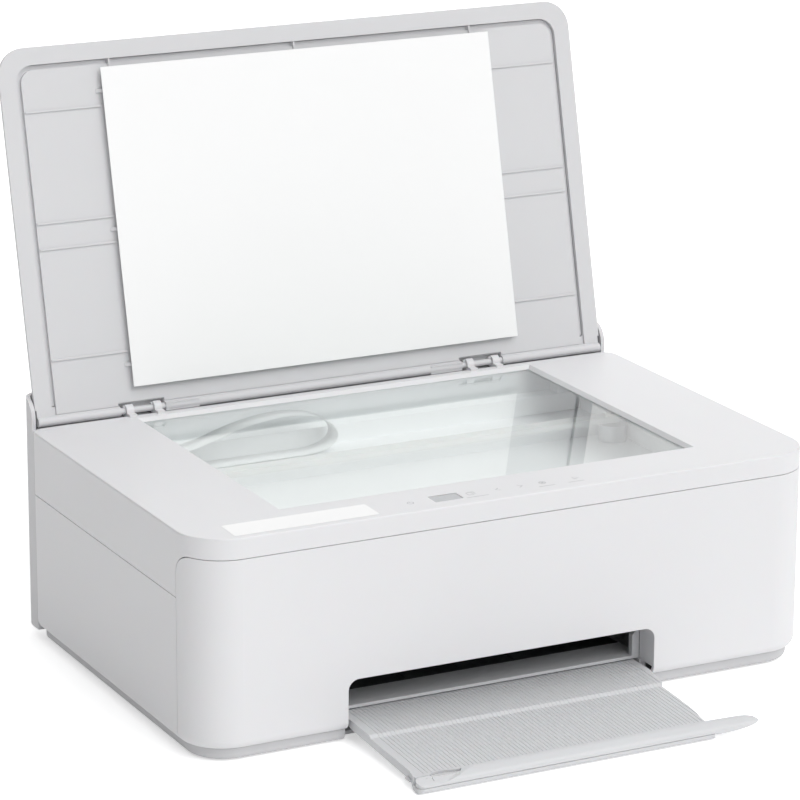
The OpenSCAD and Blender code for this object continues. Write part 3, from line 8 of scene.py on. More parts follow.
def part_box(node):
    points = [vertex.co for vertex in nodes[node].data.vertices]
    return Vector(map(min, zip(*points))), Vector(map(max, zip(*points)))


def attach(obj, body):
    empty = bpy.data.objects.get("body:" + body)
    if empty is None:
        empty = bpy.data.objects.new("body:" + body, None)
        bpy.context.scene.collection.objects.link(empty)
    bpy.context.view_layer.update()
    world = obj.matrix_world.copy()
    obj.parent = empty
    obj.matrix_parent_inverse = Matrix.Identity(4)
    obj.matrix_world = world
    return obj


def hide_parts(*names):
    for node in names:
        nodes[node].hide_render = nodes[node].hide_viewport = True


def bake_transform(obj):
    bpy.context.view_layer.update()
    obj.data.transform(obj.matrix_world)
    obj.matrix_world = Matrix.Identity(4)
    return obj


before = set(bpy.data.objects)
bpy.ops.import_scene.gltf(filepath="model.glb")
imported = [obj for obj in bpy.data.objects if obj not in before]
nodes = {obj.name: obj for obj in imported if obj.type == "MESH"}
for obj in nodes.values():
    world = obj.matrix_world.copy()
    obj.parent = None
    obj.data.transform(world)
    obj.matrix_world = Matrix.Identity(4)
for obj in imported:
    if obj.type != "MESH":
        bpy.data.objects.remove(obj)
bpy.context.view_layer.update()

# ---------------------------------------------------------------------------
# Camera: a long lens, well to the left of the printer and a little above its
# deck, far enough away that upright edges stay nearly parallel.
# ---------------------------------------------------------------------------
CAMERA_PLACE = (-1.1082, -2.10975, 0.8736)
CAMERA_TURN = -26.783
CAMERA_DROP = 16.067
CAMERA_ROLL = 0.158
SENSOR_MM = 36
LENS_MM = 169.1
FRAME_SHIFT = (0.0346, -0.0153)
SIGHT_END = 60

camera_data = bpy.data.cameras.new("camera")
camera_data.sensor_width = SENSOR_MM
camera_data.lens = LENS_MM
camera_data.shift_x, camera_data.shift_y = FRAME_SHIFT
camera_data.clip_end = SIGHT_END
camera = bpy.data.objects.new("camera", camera_data)
bpy.context.scene.collection.objects.link(camera)
camera.matrix_world = (
    Matrix.Translation(CAMERA_PLACE)
    @ Matrix.Rotation(math.radians(CAMERA_TURN), 4, "Z")
    @ Matrix.Rotation(math.radians(90 - CAMERA_DROP), 4, "X")
    @ Matrix.Rotation(math.radians(CAMERA_ROLL), 4, "Z")
)
bpy.context.scene.camera = camera

# ---------------------------------------------------------------------------
# Floor: one wide sheet of white background paper, lit a little from behind as
# on a product table, so that the shadow under the printer stays faint.
# ---------------------------------------------------------------------------
FLOOR_SIDES = (-9, 9)
FLOOR_ENDS = (-6, 14)
# The paper glows more to the camera than it lights the printer. A real sheet does
# not: it keeps the background white without washing out the printer's lower edge.
FLOOR_GLOW_SEEN = 0.45
FLOOR_GLOW_CAST = 0.14


def linear(hex_colour):
    """sRGB hex to the linear colour that a shader takes."""
    parts = [int(hex_colour[i : i + 2], 16) / 255 for i in (1, 3, 5)]
    return tuple(c / 12.92 if c <= 0.04045 else ((c + 0.055) / 1.055) ** 2.4 for c in parts) + (1,)


def add(tree, kind, inputs=None, **settings):
    """Adds a shader node. An input is a value, or the output of another node."""
    made = tree.nodes.new(kind)
    for name, value in settings.items():
        setattr(made, name, value)
    for name, value in (inputs or {}).items():
        socket = made.inputs[name]
        if isinstance(value, bpy.types.NodeSocket):
            tree.links.new(value, socket)
        else:
            socket.default_value = value
    return made


def new_material(name):
    """An empty node material and its tree."""
    made = bpy.data.materials.new(name)
    made.use_nodes = True
    made.node_tree.nodes.clear()
    return made, made.node_tree


def mesh_piece(name, vertices, faces, material, body=None):
    """A mesh in the row frame, in metres. It rides on a body, if one is named."""
    data = bpy.data.meshes.new(name)
    data.from_pydata([tuple(v) for v in vertices], [], faces)
    data.validate()
    data.materials.append(material)
    made = bpy.data.objects.new(name, data)
    bpy.context.scene.collection.objects.link(made)
    if body:
        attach(made, body)
    return made


# Uncoated white paper: an even matt white with a barely visible fibre.
paper, tree = new_material("white_background_paper")
fibre = add(tree, "ShaderNodeTexNoise", {"Scale": 900.0, "Detail": 2.0})
tone = add(
    tree, "ShaderNodeMix", {"Factor": fibre.outputs[0], "A": linear("#f5f5f5"), "B": linear("#f9f9f9")},
    data_type="RGBA",
)
ray = add(tree, "ShaderNodeLightPath")
glow = add(
    tree, "ShaderNodeMapRange",
    {"Value": ray.outputs["Is Camera Ray"], "To Min": FLOOR_GLOW_CAST, "To Max": FLOOR_GLOW_SEEN},
)
surface = add(
    tree, "ShaderNodeBsdfPrincipled",
    {"Base Color": tone.outputs["Result"], "Roughness": 0.9, "Emission Color": (1, 1, 1, 1),
     "Emission Strength": glow.outputs[0]},
)
add(tree, "ShaderNodeOutputMaterial", {"Surface": surface.outputs[0]})
(left, right), (front, back) = FLOOR_SIDES, FLOOR_ENDS
floor_corners = [(left, front, 0), (right, front, 0), (right, back, 0), (left, back, 0)]
floor = mesh_piece("floor", floor_corners, [(0, 1, 2, 3)], paper)

# ---------------------------------------------------------------------------
# Studio light: a tent that is brightest overhead and dimmer to the left, a
# white sweep behind the printer, and one wide soft source high in front.
# ---------------------------------------------------------------------------
TENT_HORIZON = 0.1
TENT_TOP = 0.7
TENT_LEFT = 0.45
TENT_RIGHT = 1.4
SWEEP_FROM = Vector((0.43, 0.86, 0.26)).normalized()
SWEEP_EDGE = (0.6, 0.85)
SWEEP = 0.85
SOFT_LIGHT = 1.68
SOFT_LIGHT_SPREAD = 55
SOFT_LIGHT_FROM = (0.08, -0.36, 0.38)

bpy.context.scene.view_settings.view_transform = "Standard"
world = bpy.data.worlds.new("light_tent")
world.use_nodes = True
bpy.context.scene.world = world
tent = world.node_tree
tent.nodes.clear()
outwards = add(tent, "ShaderNodeTexCoord").outputs["Generated"]
axes = add(tent, "ShaderNodeSeparateXYZ", {"Vector": outwards})
height = add(
    tent, "ShaderNodeMapRange", {"Value": axes.outputs["Z"], "To Min": TENT_HORIZON, "To Max": TENT_TOP}
)
side = add(
    tent, "ShaderNodeMapRange",
    {"Value": axes.outputs["X"], "From Min": -1.0, "To Min": TENT_LEFT, "To Max": TENT_RIGHT},
)
lining = add(tent, "ShaderNodeMath", {0: height.outputs[0], 1: side.outputs[0]}, operation="MULTIPLY")
behind = add(tent, "ShaderNodeVectorMath", {0: outwards, 1: SWEEP_FROM}, operation="DOT_PRODUCT")
sweep = add(
    tent, "ShaderNodeMapRange",
    {
        "Value": behind.outputs["Value"],
        "From Min": SWEEP_EDGE[0],
        "From Max": SWEEP_EDGE[1],
        "To Max": SWEEP,
    },
)
both = add(tent, "ShaderNodeMath", {0: lining.outputs[0], 1: sweep.outputs[0]}, operation="ADD")
walls = add(tent, "ShaderNodeBackground", {"Color": (1, 1, 1, 1), "Strength": both.outputs[0]})
add(tent, "ShaderNodeOutputWorld", {"Surface": walls.outputs[0]})

light = bpy.data.lights.new("wide_soft_source", "SUN")
light.energy = SOFT_LIGHT
light.angle = math.radians(SOFT_LIGHT_SPREAD)
source = bpy.data.objects.new("wide_soft_source", light)
bpy.context.scene.collection.objects.link(source)
source.rotation_euler = Vector(SOFT_LIGHT_FROM).to_track_quat("Z", "Y").to_euler()

# ---------------------------------------------------------------------------
# Base: a shallow pan of light grey ABS that carries the whole printer. It is
# injection moulded in one piece and stands on four pads of black rubber.
# ---------------------------------------------------------------------------
MM = 0.001
ABS_IOR = 1.53
DRIFT_SCALE = 9.0  # the tone drifts over about 110 mm
PIT_STRENGTH = 0.35
PIT_GLOSS = 0.05
GLOW_DEPTH = 0.002
MOULD_RADIUS_MM = 0.4
SHARP_EDGE = 50  # degrees: a flatter edge isn't rounded


def coat(tree, tone, relief, gloss, settings):
    """Joins a material up. Tone is (pattern, dark, light), relief is (pattern, strength,
    depth in mm) and gloss is (pattern, least and most roughness). Settings go to the shader."""
    pattern, dark, light_tone = tone
    colour = add(
        tree, "ShaderNodeMix", {"Factor": pattern, "A": linear(dark), "B": linear(light_tone)},
        data_type="RGBA",
    )
    pattern, strength, depth_mm = relief
    bump = add(
        tree, "ShaderNodeBump", {"Height": pattern, "Strength": strength, "Distance": depth_mm * MM}
    )
    pattern, least, most = gloss
    roughness = add(tree, "ShaderNodeMapRange", {"Value": pattern, "To Min": least, "To Max": most})
    joined = {"Base Color": colour.outputs["Result"], "Roughness": roughness.outputs[0]}
    joined["Normal"] = bump.outputs[0]
    surface = add(tree, "ShaderNodeBsdfPrincipled", {**joined, **settings})
    add(tree, "ShaderNodeOutputMaterial", {"Surface": surface.outputs[0]})


def moulded(name, low, high, roughness, grit_mm, pit_mm, glow=0.0, ior=ABS_IOR):
    """A moulded plastic: two close tones that drift over the part, and the pits
    that the mould's eroded steel leaves, as a bump and as a change of gloss."""
    made, tree = new_material(name)
    place = add(tree, "ShaderNodeTexCoord").outputs["Object"]
    drift = add(tree, "ShaderNodeTexNoise", {"Vector": place, "Scale": DRIFT_SCALE, "Detail": 3.0})
    pits = add(tree, "ShaderNodeTexNoise", {"Vector": place, "Scale": 1 / (grit_mm * MM), "Detail": 2.0})
    coat(
        tree,
        tone=(drift.outputs[0], low, high),
        relief=(pits.outputs[0], PIT_STRENGTH, pit_mm),
        gloss=(pits.outputs[0], roughness - PIT_GLOSS, roughness + PIT_GLOSS),
        settings={"IOR": ior, "Subsurface Weight": glow, "Subsurface Scale": GLOW_DEPTH},
    )
    return made


def dress(material, *names):
    """Gives a material to nodes of the CAD model."""
    for name in names:
        data = nodes[name].data
        data.materials.clear()
        data.materials.append(material)


def round_edges(radius_mm, *names):
    """The small radius that a mould leaves on every sharp edge."""
    for name in names:
        bevel = nodes[name].modifiers.new("mould_radius", "BEVEL")
        bevel.width = radius_mm * MM
        bevel.segments = 2
        bevel.limit_method = "ANGLE"
        bevel.angle_limit = math.radians(SHARP_EDGE)
        bevel.use_clamp_overlap = True
        bevel.harden_normals = False


# Light grey ABS with a coarse eroded surface: matt, with a soft even sheen.
base_abs = moulded("base_grey_abs_eroded", "#cbcbcd", "#d0d0d2", roughness=0.5, grit_mm=0.6, pit_mm=0.04)
dress(base_abs, "base_pan")

# Moulded rubber: near-black, dull, with a sandy surface.
foot_rubber = moulded(
    "black_rubber_moulded", "#2b2c2d", "#343536",
    roughness=0.75, grit_mm=0.4, pit_mm=0.05,
)
dress(foot_rubber, "rubber_feet")

# ---------------------------------------------------------------------------
# Outer shell: the lower housing, the front door that tips forward, and the
# scanner's cover with the deck. All three are near-white ABS, moulded with the
# same fine spark-eroded surface, and meet at thin dark seams.
# ---------------------------------------------------------------------------
# White ABS: bright, a trace of blue, satin rather than shiny.
white_abs = moulded(
    "white_abs_eroded", "#e4e4e6", "#e8e8ea",
    roughness=0.42, grit_mm=0.5, pit_mm=0.03, glow=0.05,
)
dress(white_abs, "lower_housing", "front_door", "scanner_cover")
round_edges(MOULD_RADIUS_MM, "front_door", "scanner_cover")

# ---------------------------------------------------------------------------
# Control strip: a smoked acrylic window over a small display, and the faint
# grey marks of touch keys, pad-printed on the deck in front of the glass.
# ---------------------------------------------------------------------------
# Smoked acrylic: smooth and glossy, pale grey while the display is dark.
display_acrylic = moulded(
    "smoked_acrylic_window", "#b4b6b9", "#bbbdc0",
    roughness=0.12, grit_mm=3.0, pit_mm=0.002, glow=0, ior=1.49,
)
dress(display_acrylic, "display_window")

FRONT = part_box("front_door")[0].y
DECK_MM = 148.5
MARGIN_MM = 39.0
MARGIN_FALL_MM = 0.6


def deck_point(x_mm, y_mm, lift_mm):
    """A point on the deck, y_mm behind the front face. The front margin falls a little."""
    fall = MARGIN_FALL_MM * max(MARGIN_MM - y_mm, 0) / (MARGIN_MM + 1)
    return (x_mm * MM, FRONT + y_mm * MM, (DECK_MM - fall + lift_mm) * MM)


def outline_strip(points, width_mm, closed=False):
    """The two sides of a printed line that runs through flat points, as quads."""
    count = len(points)
    vertices, faces = [], []
    for i, (x, y) in enumerate(points):
        before = points[i - 1] if closed or i else points[0]
        after = points[(i + 1) % count] if closed or i < count - 1 else points[-1]
        along = Vector((after[0] - before[0], after[1] - before[1])).normalized()
        side = Vector((-along.y, along.x)) * width_mm / 2
        vertices += [(x + side.x, y + side.y), (x - side.x, y - side.y)]
    for i in range(count if closed else count - 1):
        a, b = 2 * i, 2 * ((i + 1) % count)
        faces.append((a, a + 1, b + 1, b))
    return vertices, faces


def printed_arc(x, y, radius, start, end, steps=16):
    """Points of an arc round (x, y), from start to end in degrees."""
    turn = [math.radians(start + (end - start) * i / steps) for i in range(steps + 1)]
    return [(x + radius * math.cos(a), y + radius * math.sin(a)) for a in turn]


KEY_LINE_MM = 0.45
INK_LIFT_MM = 0.03
key_lines = [
    # standby key: an open ring with a stroke
    printed_arc(-69.8, 16.4, 2.0, 120, 420),
    [(-69.8, 16.6), (-69.8, 19.2)],
    # two sheets, one over the other
    [(-29.0, 14.6), (-25.4, 14.6), (-25.4, 19.0), (-29.0, 19.0), (-29.0, 14.6)],
    [(-27.4, 19.9), (-23.8, 19.9), (-23.8, 15.6)],
    [(-32.6, 10.2), (-17.0, 10.2)],
    # arrow to the left
    [(-5.6, 14.9), (-8.6, 17.0), (-5.6, 19.1)],
    # arrow to the right
    [(8.2, 14.9), (11.2, 17.0), (8.2, 19.1)],
    # stop key: a ring with a cross
    printed_arc(25.6, 17.0, 2.1, 0, 360),
    [(24.5, 15.9), (26.7, 18.1)],
    [(24.5, 18.1), (26.7, 15.9)],
    [(19.6, 10.2), (31.4, 10.2)],
    # start key: a triangle that points right
    [(48.2, 14.2), (51.8, 16.4), (48.2, 18.6), (48.2, 14.2)],
    [(41.4, 10.2), (52.8, 10.2)],
]
mark_points, mark_faces = [], []
for line in key_lines:
    points, faces = outline_strip(line, KEY_LINE_MM)
    mark_faces += [tuple(i + len(mark_points) for i in face) for face in faces]
    mark_points += [deck_point(x, y, INK_LIFT_MM) for x, y in points]

# Pad-printing ink: a thin matt film of mid grey that the plastic shows through.
key_ink = moulded(
    "grey_pad_printing_ink", "#a3a4a7", "#adaeb1",
    roughness=0.6, grit_mm=0.4, pit_mm=0.005,
)
mesh_piece("printed_key_marks", mark_points, mark_faces, key_ink, "housing")

# ---------------------------------------------------------------------------
# Label sheet: a plain strip of white paper, self-adhesive, laid along the
# front edge of the deck and left blank.
# ---------------------------------------------------------------------------
LABEL_MM = (-196.5, -97.0, 5.5, 26.5)
LABEL_CORNER_MM = 1.5
LABEL_LIFT_MM = 0.02
LABEL_THICK_MM = 0.12

x0, x1, y0, y1 = LABEL_MM
corner = LABEL_CORNER_MM
label_outline = (
    printed_arc(x1 - corner, y1 - corner, corner, 0, 90, 4)
    + printed_arc(x0 + corner, y1 - corner, corner, 90, 180, 4)
    + printed_arc(x0 + corner, y0 + corner, corner, 180, 270, 4)
    + printed_arc(x1 - corner, y0 + corner, corner, 270, 360, 4)
)
count = len(label_outline)
label_points = [deck_point(x, y, LABEL_LIFT_MM) for x, y in label_outline]
label_points += [deck_point(x, y, LABEL_THICK_MM) for x, y in label_outline]
label_faces = [tuple(range(count, 2 * count)), tuple(range(count - 1, -1, -1))]
label_faces += [(i, (i + 1) % count, count + (i + 1) % count, count + i) for i in range(count)]

# Coated label paper: the whitest thing on the deck, flat, with a fine tooth.
label_paper = moulded(
    "white_coated_label_paper", "#fbfbfb", "#ffffff",
    roughness=0.55, grit_mm=0.6, pit_mm=0.01,
)
mesh_piece("blank_label_sheet", label_points, label_faces, label_paper, "housing")

# ---------------------------------------------------------------------------
# Document glass: one pane of 3 mm float glass. Its edges are cut and hidden,
# and it is bonded under the opening of the deck.
# ---------------------------------------------------------------------------
# Float glass: clear, faintly green, a hard mirror at a flat angle.
float_glass, tree = new_material("float_glass")
ripple = add(tree, "ShaderNodeTexNoise", {"Scale": 20.0, "Detail": 1.0})
haze = add(tree, "ShaderNodeMapRange", {"Value": ripple.outputs[0], "To Min": 0.0, "To Max": 0.01})
pane = add(
    tree, "ShaderNodeBsdfPrincipled",
    {
        "Base Color": linear("#fdfefe"),
        "Roughness": haze.outputs[0],
        "IOR": 1.52,
        "Transmission Weight": 1.0,
    },
)
clear = add(tree, "ShaderNodeBsdfTransparent", {"Color": linear("#fdfffe")})
path = add(tree, "ShaderNodeLightPath")
straight = add(
    tree, "ShaderNodeMath", {0: path.outputs["Is Shadow Ray"], 1: path.outputs["Is Diffuse Ray"]},
    operation="MAXIMUM",
)
mixed = add(tree, "ShaderNodeMixShader", {"Fac": straight.outputs[0]})
tree.links.new(pane.outputs[0], mixed.inputs[1])
tree.links.new(clear.outputs[0], mixed.inputs[2])
add(tree, "ShaderNodeOutputMaterial", {"Surface": mixed.outputs[0]})
dress(float_glass, "platen_glass")

# ---------------------------------------------------------------------------
# Scanner: a pale moulded tub under the glass. The scan head waits at the left
# on its rail, pulled by a toothed belt from a small motor, and trails a flat
# ribbon cable that arches up behind it.
# ---------------------------------------------------------------------------
# Pale ABS, unpainted: light so that it hides no stray light, and plain.
tub_abs = moulded("pale_grey_abs_plain", "#eceeef", "#f1f3f4", roughness=0.4, grit_mm=0.8, pit_mm=0.02)
dress(tub_abs, "scanner_tub")

# Black polycarbonate: dark so that the head's optics see no stray light.
optics_black = moulded(
    "black_polycarbonate_plain", "#2a2c2e", "#323436",
    roughness=0.45, grit_mm=0.6, pit_mm=0.02, glow=0, ior=1.58,
)
dress(optics_black, "scan_head")

# Cast polyurethane over steel cords: milky white and slightly waxy.
belt_urethane = moulded(
    "milky_polyurethane", "#d9dbda", "#e2e4e3",
    roughness=0.5, grit_mm=0.8, pit_mm=0.02, glow=0.1, ior=1.5,
)
dress(belt_urethane, "scan_belt", "carriage_belt")

# Laminated polyester ribbon: white, smooth, ribbed lengthwise by its conductors.
RIBBON_PITCH_MM = 1.6  # true pitch 1 mm, drawn coarser so that it shows
ribbon, tree = new_material("white_polyester_ribbon")
place = add(tree, "ShaderNodeTexCoord").outputs["Object"]
conductors = add(
    tree, "ShaderNodeTexWave", {"Vector": place, "Scale": math.tau / (20 * RIBBON_PITCH_MM * MM)},
    wave_type="BANDS", bands_direction="Y",
)
coat(
    tree,
    tone=(conductors.outputs[1], "#dfe2e3", "#f0f2f2"),
    relief=(conductors.outputs[1], 0.4, 0.1),
    gloss=(conductors.outputs[1], 0.26, 0.36),
    settings={"IOR": 1.57},
)

RIBBON_THICK_MM = 0.4
UNDER_HEAD_MM = 127.4
UNDER_GLASS_MM = 142.1
ON_LEDGE_MM = 113.1
HEAD_STOPS_MM = (-5, 8, 25)
RISE_PULL_MM = (-112, -92)
CREST_MM = -52
FOLD_PULL_MM = (-10, 4)
FOLD_FOOT_MM = -38
LEDGE_STOPS_MM = (-60, -85, -115)
LOWER_END_MM = 12
SIDE_TURN = 0.5
THIN_FACE = 2e-6

head_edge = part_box("scan_head")[1].x / MM
ribbon_low, ribbon_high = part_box("scan_cable")


def bend(p0, p1, p2, p3, steps=20):
    """Points of a smooth bend in the x-z plane, without its first point."""
    made = []
    for i in range(1, steps + 1):
        t = i / steps
        weights = ((1 - t) ** 3, 3 * t * (1 - t) ** 2, 3 * t * t * (1 - t), t**3)
        made.append(tuple(sum(w * p[k] for w, p in zip(weights, (p0, p1, p2, p3))) for k in (0, 1)))
    return made


# held under the head, flat at first, up against the glass, folded back to the ledge
route = [(head_edge + stop, UNDER_HEAD_MM) for stop in HEAD_STOPS_MM]
route += bend(
    route[-1],
    (RISE_PULL_MM[0], UNDER_HEAD_MM),
    (RISE_PULL_MM[1], UNDER_GLASS_MM - 1),
    (CREST_MM, UNDER_GLASS_MM),
)
route += bend(
    route[-1],
    (FOLD_PULL_MM[0], UNDER_GLASS_MM),
    (FOLD_PULL_MM[1], ON_LEDGE_MM),
    (FOLD_FOOT_MM, ON_LEDGE_MM),
)
route += [(x, ON_LEDGE_MM) for x in (*LEDGE_STOPS_MM, head_edge + LOWER_END_MM)]

ribbon_rings = []
for i, (x, z) in enumerate(route):
    before, after = route[max(i - 1, 0)], route[min(i + 1, len(route) - 1)]
    along = Vector((after[0] - before[0], after[1] - before[1])).normalized()
    half = Vector((-along.y, along.x)) * RIBBON_THICK_MM / 2
    for side in (1, -1):
        for y in (ribbon_low.y, ribbon_high.y):
            ribbon_rings.append(((x + side * half.x) * MM, y, (z + side * half.y) * MM))
ribbon_faces = [(0, 1, 3, 2)]
for i in range(len(route) - 1):
    a, b = 4 * i, 4 * (i + 1)
    ribbon_faces += [(a, b, b + 1, a + 1), (a + 2, a + 3, b + 3, b + 2)]
    ribbon_faces += [(a, a + 2, b + 2, b), (a + 1, b + 1, b + 3, a + 3)]
last = 4 * (len(route) - 1)
ribbon_faces.append((last, last + 2, last + 3, last + 1))
head_ribbon = mesh_piece("scan_head_ribbon", ribbon_rings, ribbon_faces, ribbon)
for face in head_ribbon.data.polygons:
    face.use_smooth = abs(face.normal.y) < SIDE_TURN and face.area > THIN_FACE
# The blend goes by the place along x alone, so the lower run travels with the head
# and the ribbon stretches. A real one keeps its length and its end in the tub.
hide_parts("scan_cable")
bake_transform(head_ribbon)

# ---------------------------------------------------------------------------
# Lid: a rounded cover with a ribbed liner clipped into it, both light grey
# ABS. It swings on a rod that runs along its lower edge, held by four clips.
# ---------------------------------------------------------------------------
# Light grey ABS, eroded: matt, a step darker than the white shell.
grey_abs = moulded(
    "light_grey_abs_eroded", "#d7d7d9", "#dbdbdd",
    roughness=0.5, grit_mm=0.6, pit_mm=0.04, glow=0.03,
)
dress(grey_abs, "lid_cover", "lid_liner")
round_edges(MOULD_RADIUS_MM, "lid_cover")

LID_OPEN = math.radians(103.3)
HINGE_Y_MM = 276.9
HINGE_Z_MM = 150.7


def on_lid(x, y, z):
    """A point of the shut lid, in mm from its hinge, moved to where the open lid has it."""
    turned_y = y * math.cos(LID_OPEN) + z * math.sin(LID_OPEN)
    turned_z = z * math.cos(LID_OPEN) - y * math.sin(LID_OPEN)
    return (x * MM, FRONT + (HINGE_Y_MM + turned_y) * MM, (HINGE_Z_MM + turned_z) * MM)


# three short ribs that carry on from under the pad across the groove to the rim
SHORT_RIB_X_MM = (-138.8, 0.0, 137.7)
SHORT_RIB_Y_MM = (-238.8, -231.5)
RIB_PROFILE_MM = ((-0.9, 3.2), (-0.6, -0.9), (0.6, -0.9), (0.9, 3.2))
rib_points, rib_faces = [], []
for x in SHORT_RIB_X_MM:
    first = len(rib_points)
    for y in SHORT_RIB_Y_MM:
        rib_points += [on_lid(x + dx, y, z) for dx, z in RIB_PROFILE_MM]
    rib_faces += [tuple(first + i for i in (0, 1, 2, 3)), tuple(first + i for i in (7, 6, 5, 4))]
    rib_faces += [
        (first + i, first + 4 + i, first + 4 + (i + 1) % 4, first + (i + 1) % 4) for i in range(4)
    ]
mesh_piece("lid_short_ribs", rib_points, rib_faces, grey_abs, "lid")

# ---------------------------------------------------------------------------
# Document pad: a smooth white polyester film bonded to a sheet of soft grey
# foam, which hangs on the lid's liner and presses the paper on the glass.
# ---------------------------------------------------------------------------
# White polyester film: the brightest surface of the printer, nearly without relief.
white_film = moulded(
    "white_polyester_film", "#fcfcfc", "#fefefe",
    roughness=0.35, grit_mm=4.0, pit_mm=0.004, glow=0, ior=1.57,
)
dress(white_film, "pad_sheet")

# Open-cell polyurethane foam: pale grey, dull, made of small round cells.
FOAM_CELL_MM = 0.6
foam, tree = new_material("grey_polyurethane_foam")
place = add(tree, "ShaderNodeTexCoord").outputs["Object"]
cells = add(tree, "ShaderNodeTexVoronoi", {"Vector": place, "Scale": 1 / (FOAM_CELL_MM * MM)})
coat(
    tree,
    tone=(cells.outputs[0], "#a8a9ab", "#cfd0d2"),
    relief=(cells.outputs[0], 0.6, 0.3),
    gloss=(cells.outputs[0], 0.85, 1.0),
    settings={},
)
dress(foam, "pad_foam", "ink_absorber")

# ---------------------------------------------------------------------------
# Rear: the cover with the power inlet and the data port, the hopper that it
# carries, the folding paper support and the sliding width guide.
# ---------------------------------------------------------------------------
dress(grey_abs, "rear_cover", "paper_hopper", "paper_support", "width_guide", "paper_chute")
round_edges(MOULD_RADIUS_MM, "rear_cover", "paper_support")

# Black nylon, moulded: hard, dark and slightly shiny round the inlet's pins.
inlet_nylon = moulded(
    "black_nylon_plain", "#1f2021", "#28292b",
    roughness=0.35, grit_mm=0.5, pit_mm=0.02,
)
dress(inlet_nylon, "power_inlet")

# ---------------------------------------------------------------------------
# Output: the frame round the slot, the tray that slides in under it, and the
# long extender that swings out on a spigot at the tray's front left corner.
# ---------------------------------------------------------------------------
BLADE_RADIUS_MM = 0.35

# Tray grey ABS: a little cooler than the lid, satin on the fine grooves.
tray_abs = moulded(
    "tray_grey_abs_eroded", "#d6d7d9", "#dadbdd",
    roughness=0.45, grit_mm=0.5, pit_mm=0.03, glow=0.03,
)
dress(tray_abs, "output_tray", "tray_extender", "exit_frame")
round_edges(BLADE_RADIUS_MM, "tray_extender")

# Dark grey ABS, unpainted: the parts that only paper and ink should see.
dark_abs = moulded("dark_grey_abs_plain", "#151617", "#1b1c1d", roughness=0.5, grit_mm=0.5, pit_mm=0.03)
dress(dark_abs, "platen", "pinch_holder", "service_station", "carriage")

# The same plastic one step lighter. Its tone is partly the part's own dark grey and partly painted shade:
# it sits between the lit exit plate and the black parts behind it, so that the slot darkens in steps.
guide_abs_painted_shade = moulded(
    "charcoal_grey_abs_painted_slot_shade", "#37393b", "#3e4042",
    roughness=0.45, grit_mm=0.5, pit_mm=0.03,
)
# painted shade: the exit guide's dark tone stands in for the shade deep in the output slot
dress(guide_abs_painted_shade, "exit_guide")

# ---------------------------------------------------------------------------
# Slot walls: two short returns of the white housing at the ends of the output
# slot. Each carries on the line of the door's opening back to the exit frame.
# ---------------------------------------------------------------------------
SLOT_X_MM = (-121.9, 102.9)
SLOT_TOP_MM = 43.6
SLOT_CORNER_MM = 8.1
WALL_Y_MM = (13.5, 19.7)
WALL_FOOT_MM = 9.2
WALL_THICK_MM = 1.2
ARC_STEP = 10


def slot_wall(name, edge_x, inward):
    """One return: a curved strip in the front view, drawn back along y."""
    centre_x = edge_x + inward * SLOT_CORNER_MM
    centre_z = SLOT_TOP_MM - SLOT_CORNER_MM
    profile = []
    for grow in (0, WALL_THICK_MM):
        radius = SLOT_CORNER_MM + grow
        arc = [math.radians(a) for a in range(0, 91, ARC_STEP)]
        side = [(centre_x - inward * radius, WALL_FOOT_MM)]
        side += [(centre_x - inward * radius * math.cos(a), centre_z + radius * math.sin(a)) for a in arc]
        profile += side if grow == 0 else side[::-1]
    count = len(profile)
    vertices = [(x * MM, FRONT + y * MM, z * MM) for y in WALL_Y_MM for x, z in profile]
    faces = [(i, (i + 1) % count, count + (i + 1) % count, count + i) for i in range(count)]
    half = count // 2
    for start in (0, count):
        faces += [
            (start + i, start + i + 1, start + count - 2 - i, start + count - 1 - i)
            for i in range(half - 1)
        ]
    made = mesh_piece(name, vertices, faces, white_abs, "housing")
    fixed = bmesh.new()
    fixed.from_mesh(made.data)
    bmesh.ops.recalc_face_normals(fixed, faces=fixed.faces)
    fixed.to_mesh(made.data)
    fixed.free()


slot_wall("slot_wall_left", SLOT_X_MM[0], 1)
slot_wall("slot_wall_right", SLOT_X_MM[1], -1)

# ---------------------------------------------------------------------------
# Print engine frame: a folded sheet of zinc-plated steel with its screws and
# a bright ground rod for the carriage.
# ---------------------------------------------------------------------------
BRUSH_GLOSS = 0.08
BRUSH_STRETCH = 0.02


def metal(name, low, high, roughness, brush_mm):
    """Metal whose fine marks run along x, from rolling, drawing or turning."""
    made, tree = new_material(name)
    place = add(tree, "ShaderNodeTexCoord").outputs["Object"]
    drawn = add(tree, "ShaderNodeMapping", {"Vector": place, "Scale": (BRUSH_STRETCH, 1.0, 1.0)})
    marks = add(
        tree, "ShaderNodeTexNoise",
        {"Vector": drawn.outputs[0], "Scale": 1 / (brush_mm * MM), "Detail": 3.0},
    )
    coat(
        tree,
        tone=(marks.outputs[0], low, high),
        relief=(marks.outputs[0], 0.2, 0.01),
        gloss=(marks.outputs[0], roughness - BRUSH_GLOSS, roughness + BRUSH_GLOSS),
        settings={"Metallic": 1.0},
    )
    return made


# Zinc-plated sheet: cool grey metal, half dull from the rolling.
zinc = metal("zinc_plated_sheet", "#a9adb0", "#b9bdc0", roughness=0.35, brush_mm=0.4)
dress(zinc, "chassis", "frame_screws", "star_wheels", "star_bar", "pickup_arm", "usb_port")
dress(zinc, "carriage_motor", "feed_motor", "scan_motor")

# Ground steel: brighter and smoother, with fine lines along the rod.
steel = metal("bright_ground_steel", "#c9ccce", "#d6d9db", roughness=0.18, brush_mm=0.3)
dress(steel, "slide_rod", "feed_roller")

# Turned brass: warm yellow, on the motor's pinion alone.
brass = metal("turned_brass", "#c9a25a", "#d8b56d", roughness=0.25, brush_mm=0.2)
dress(brass, "motor_pinion")

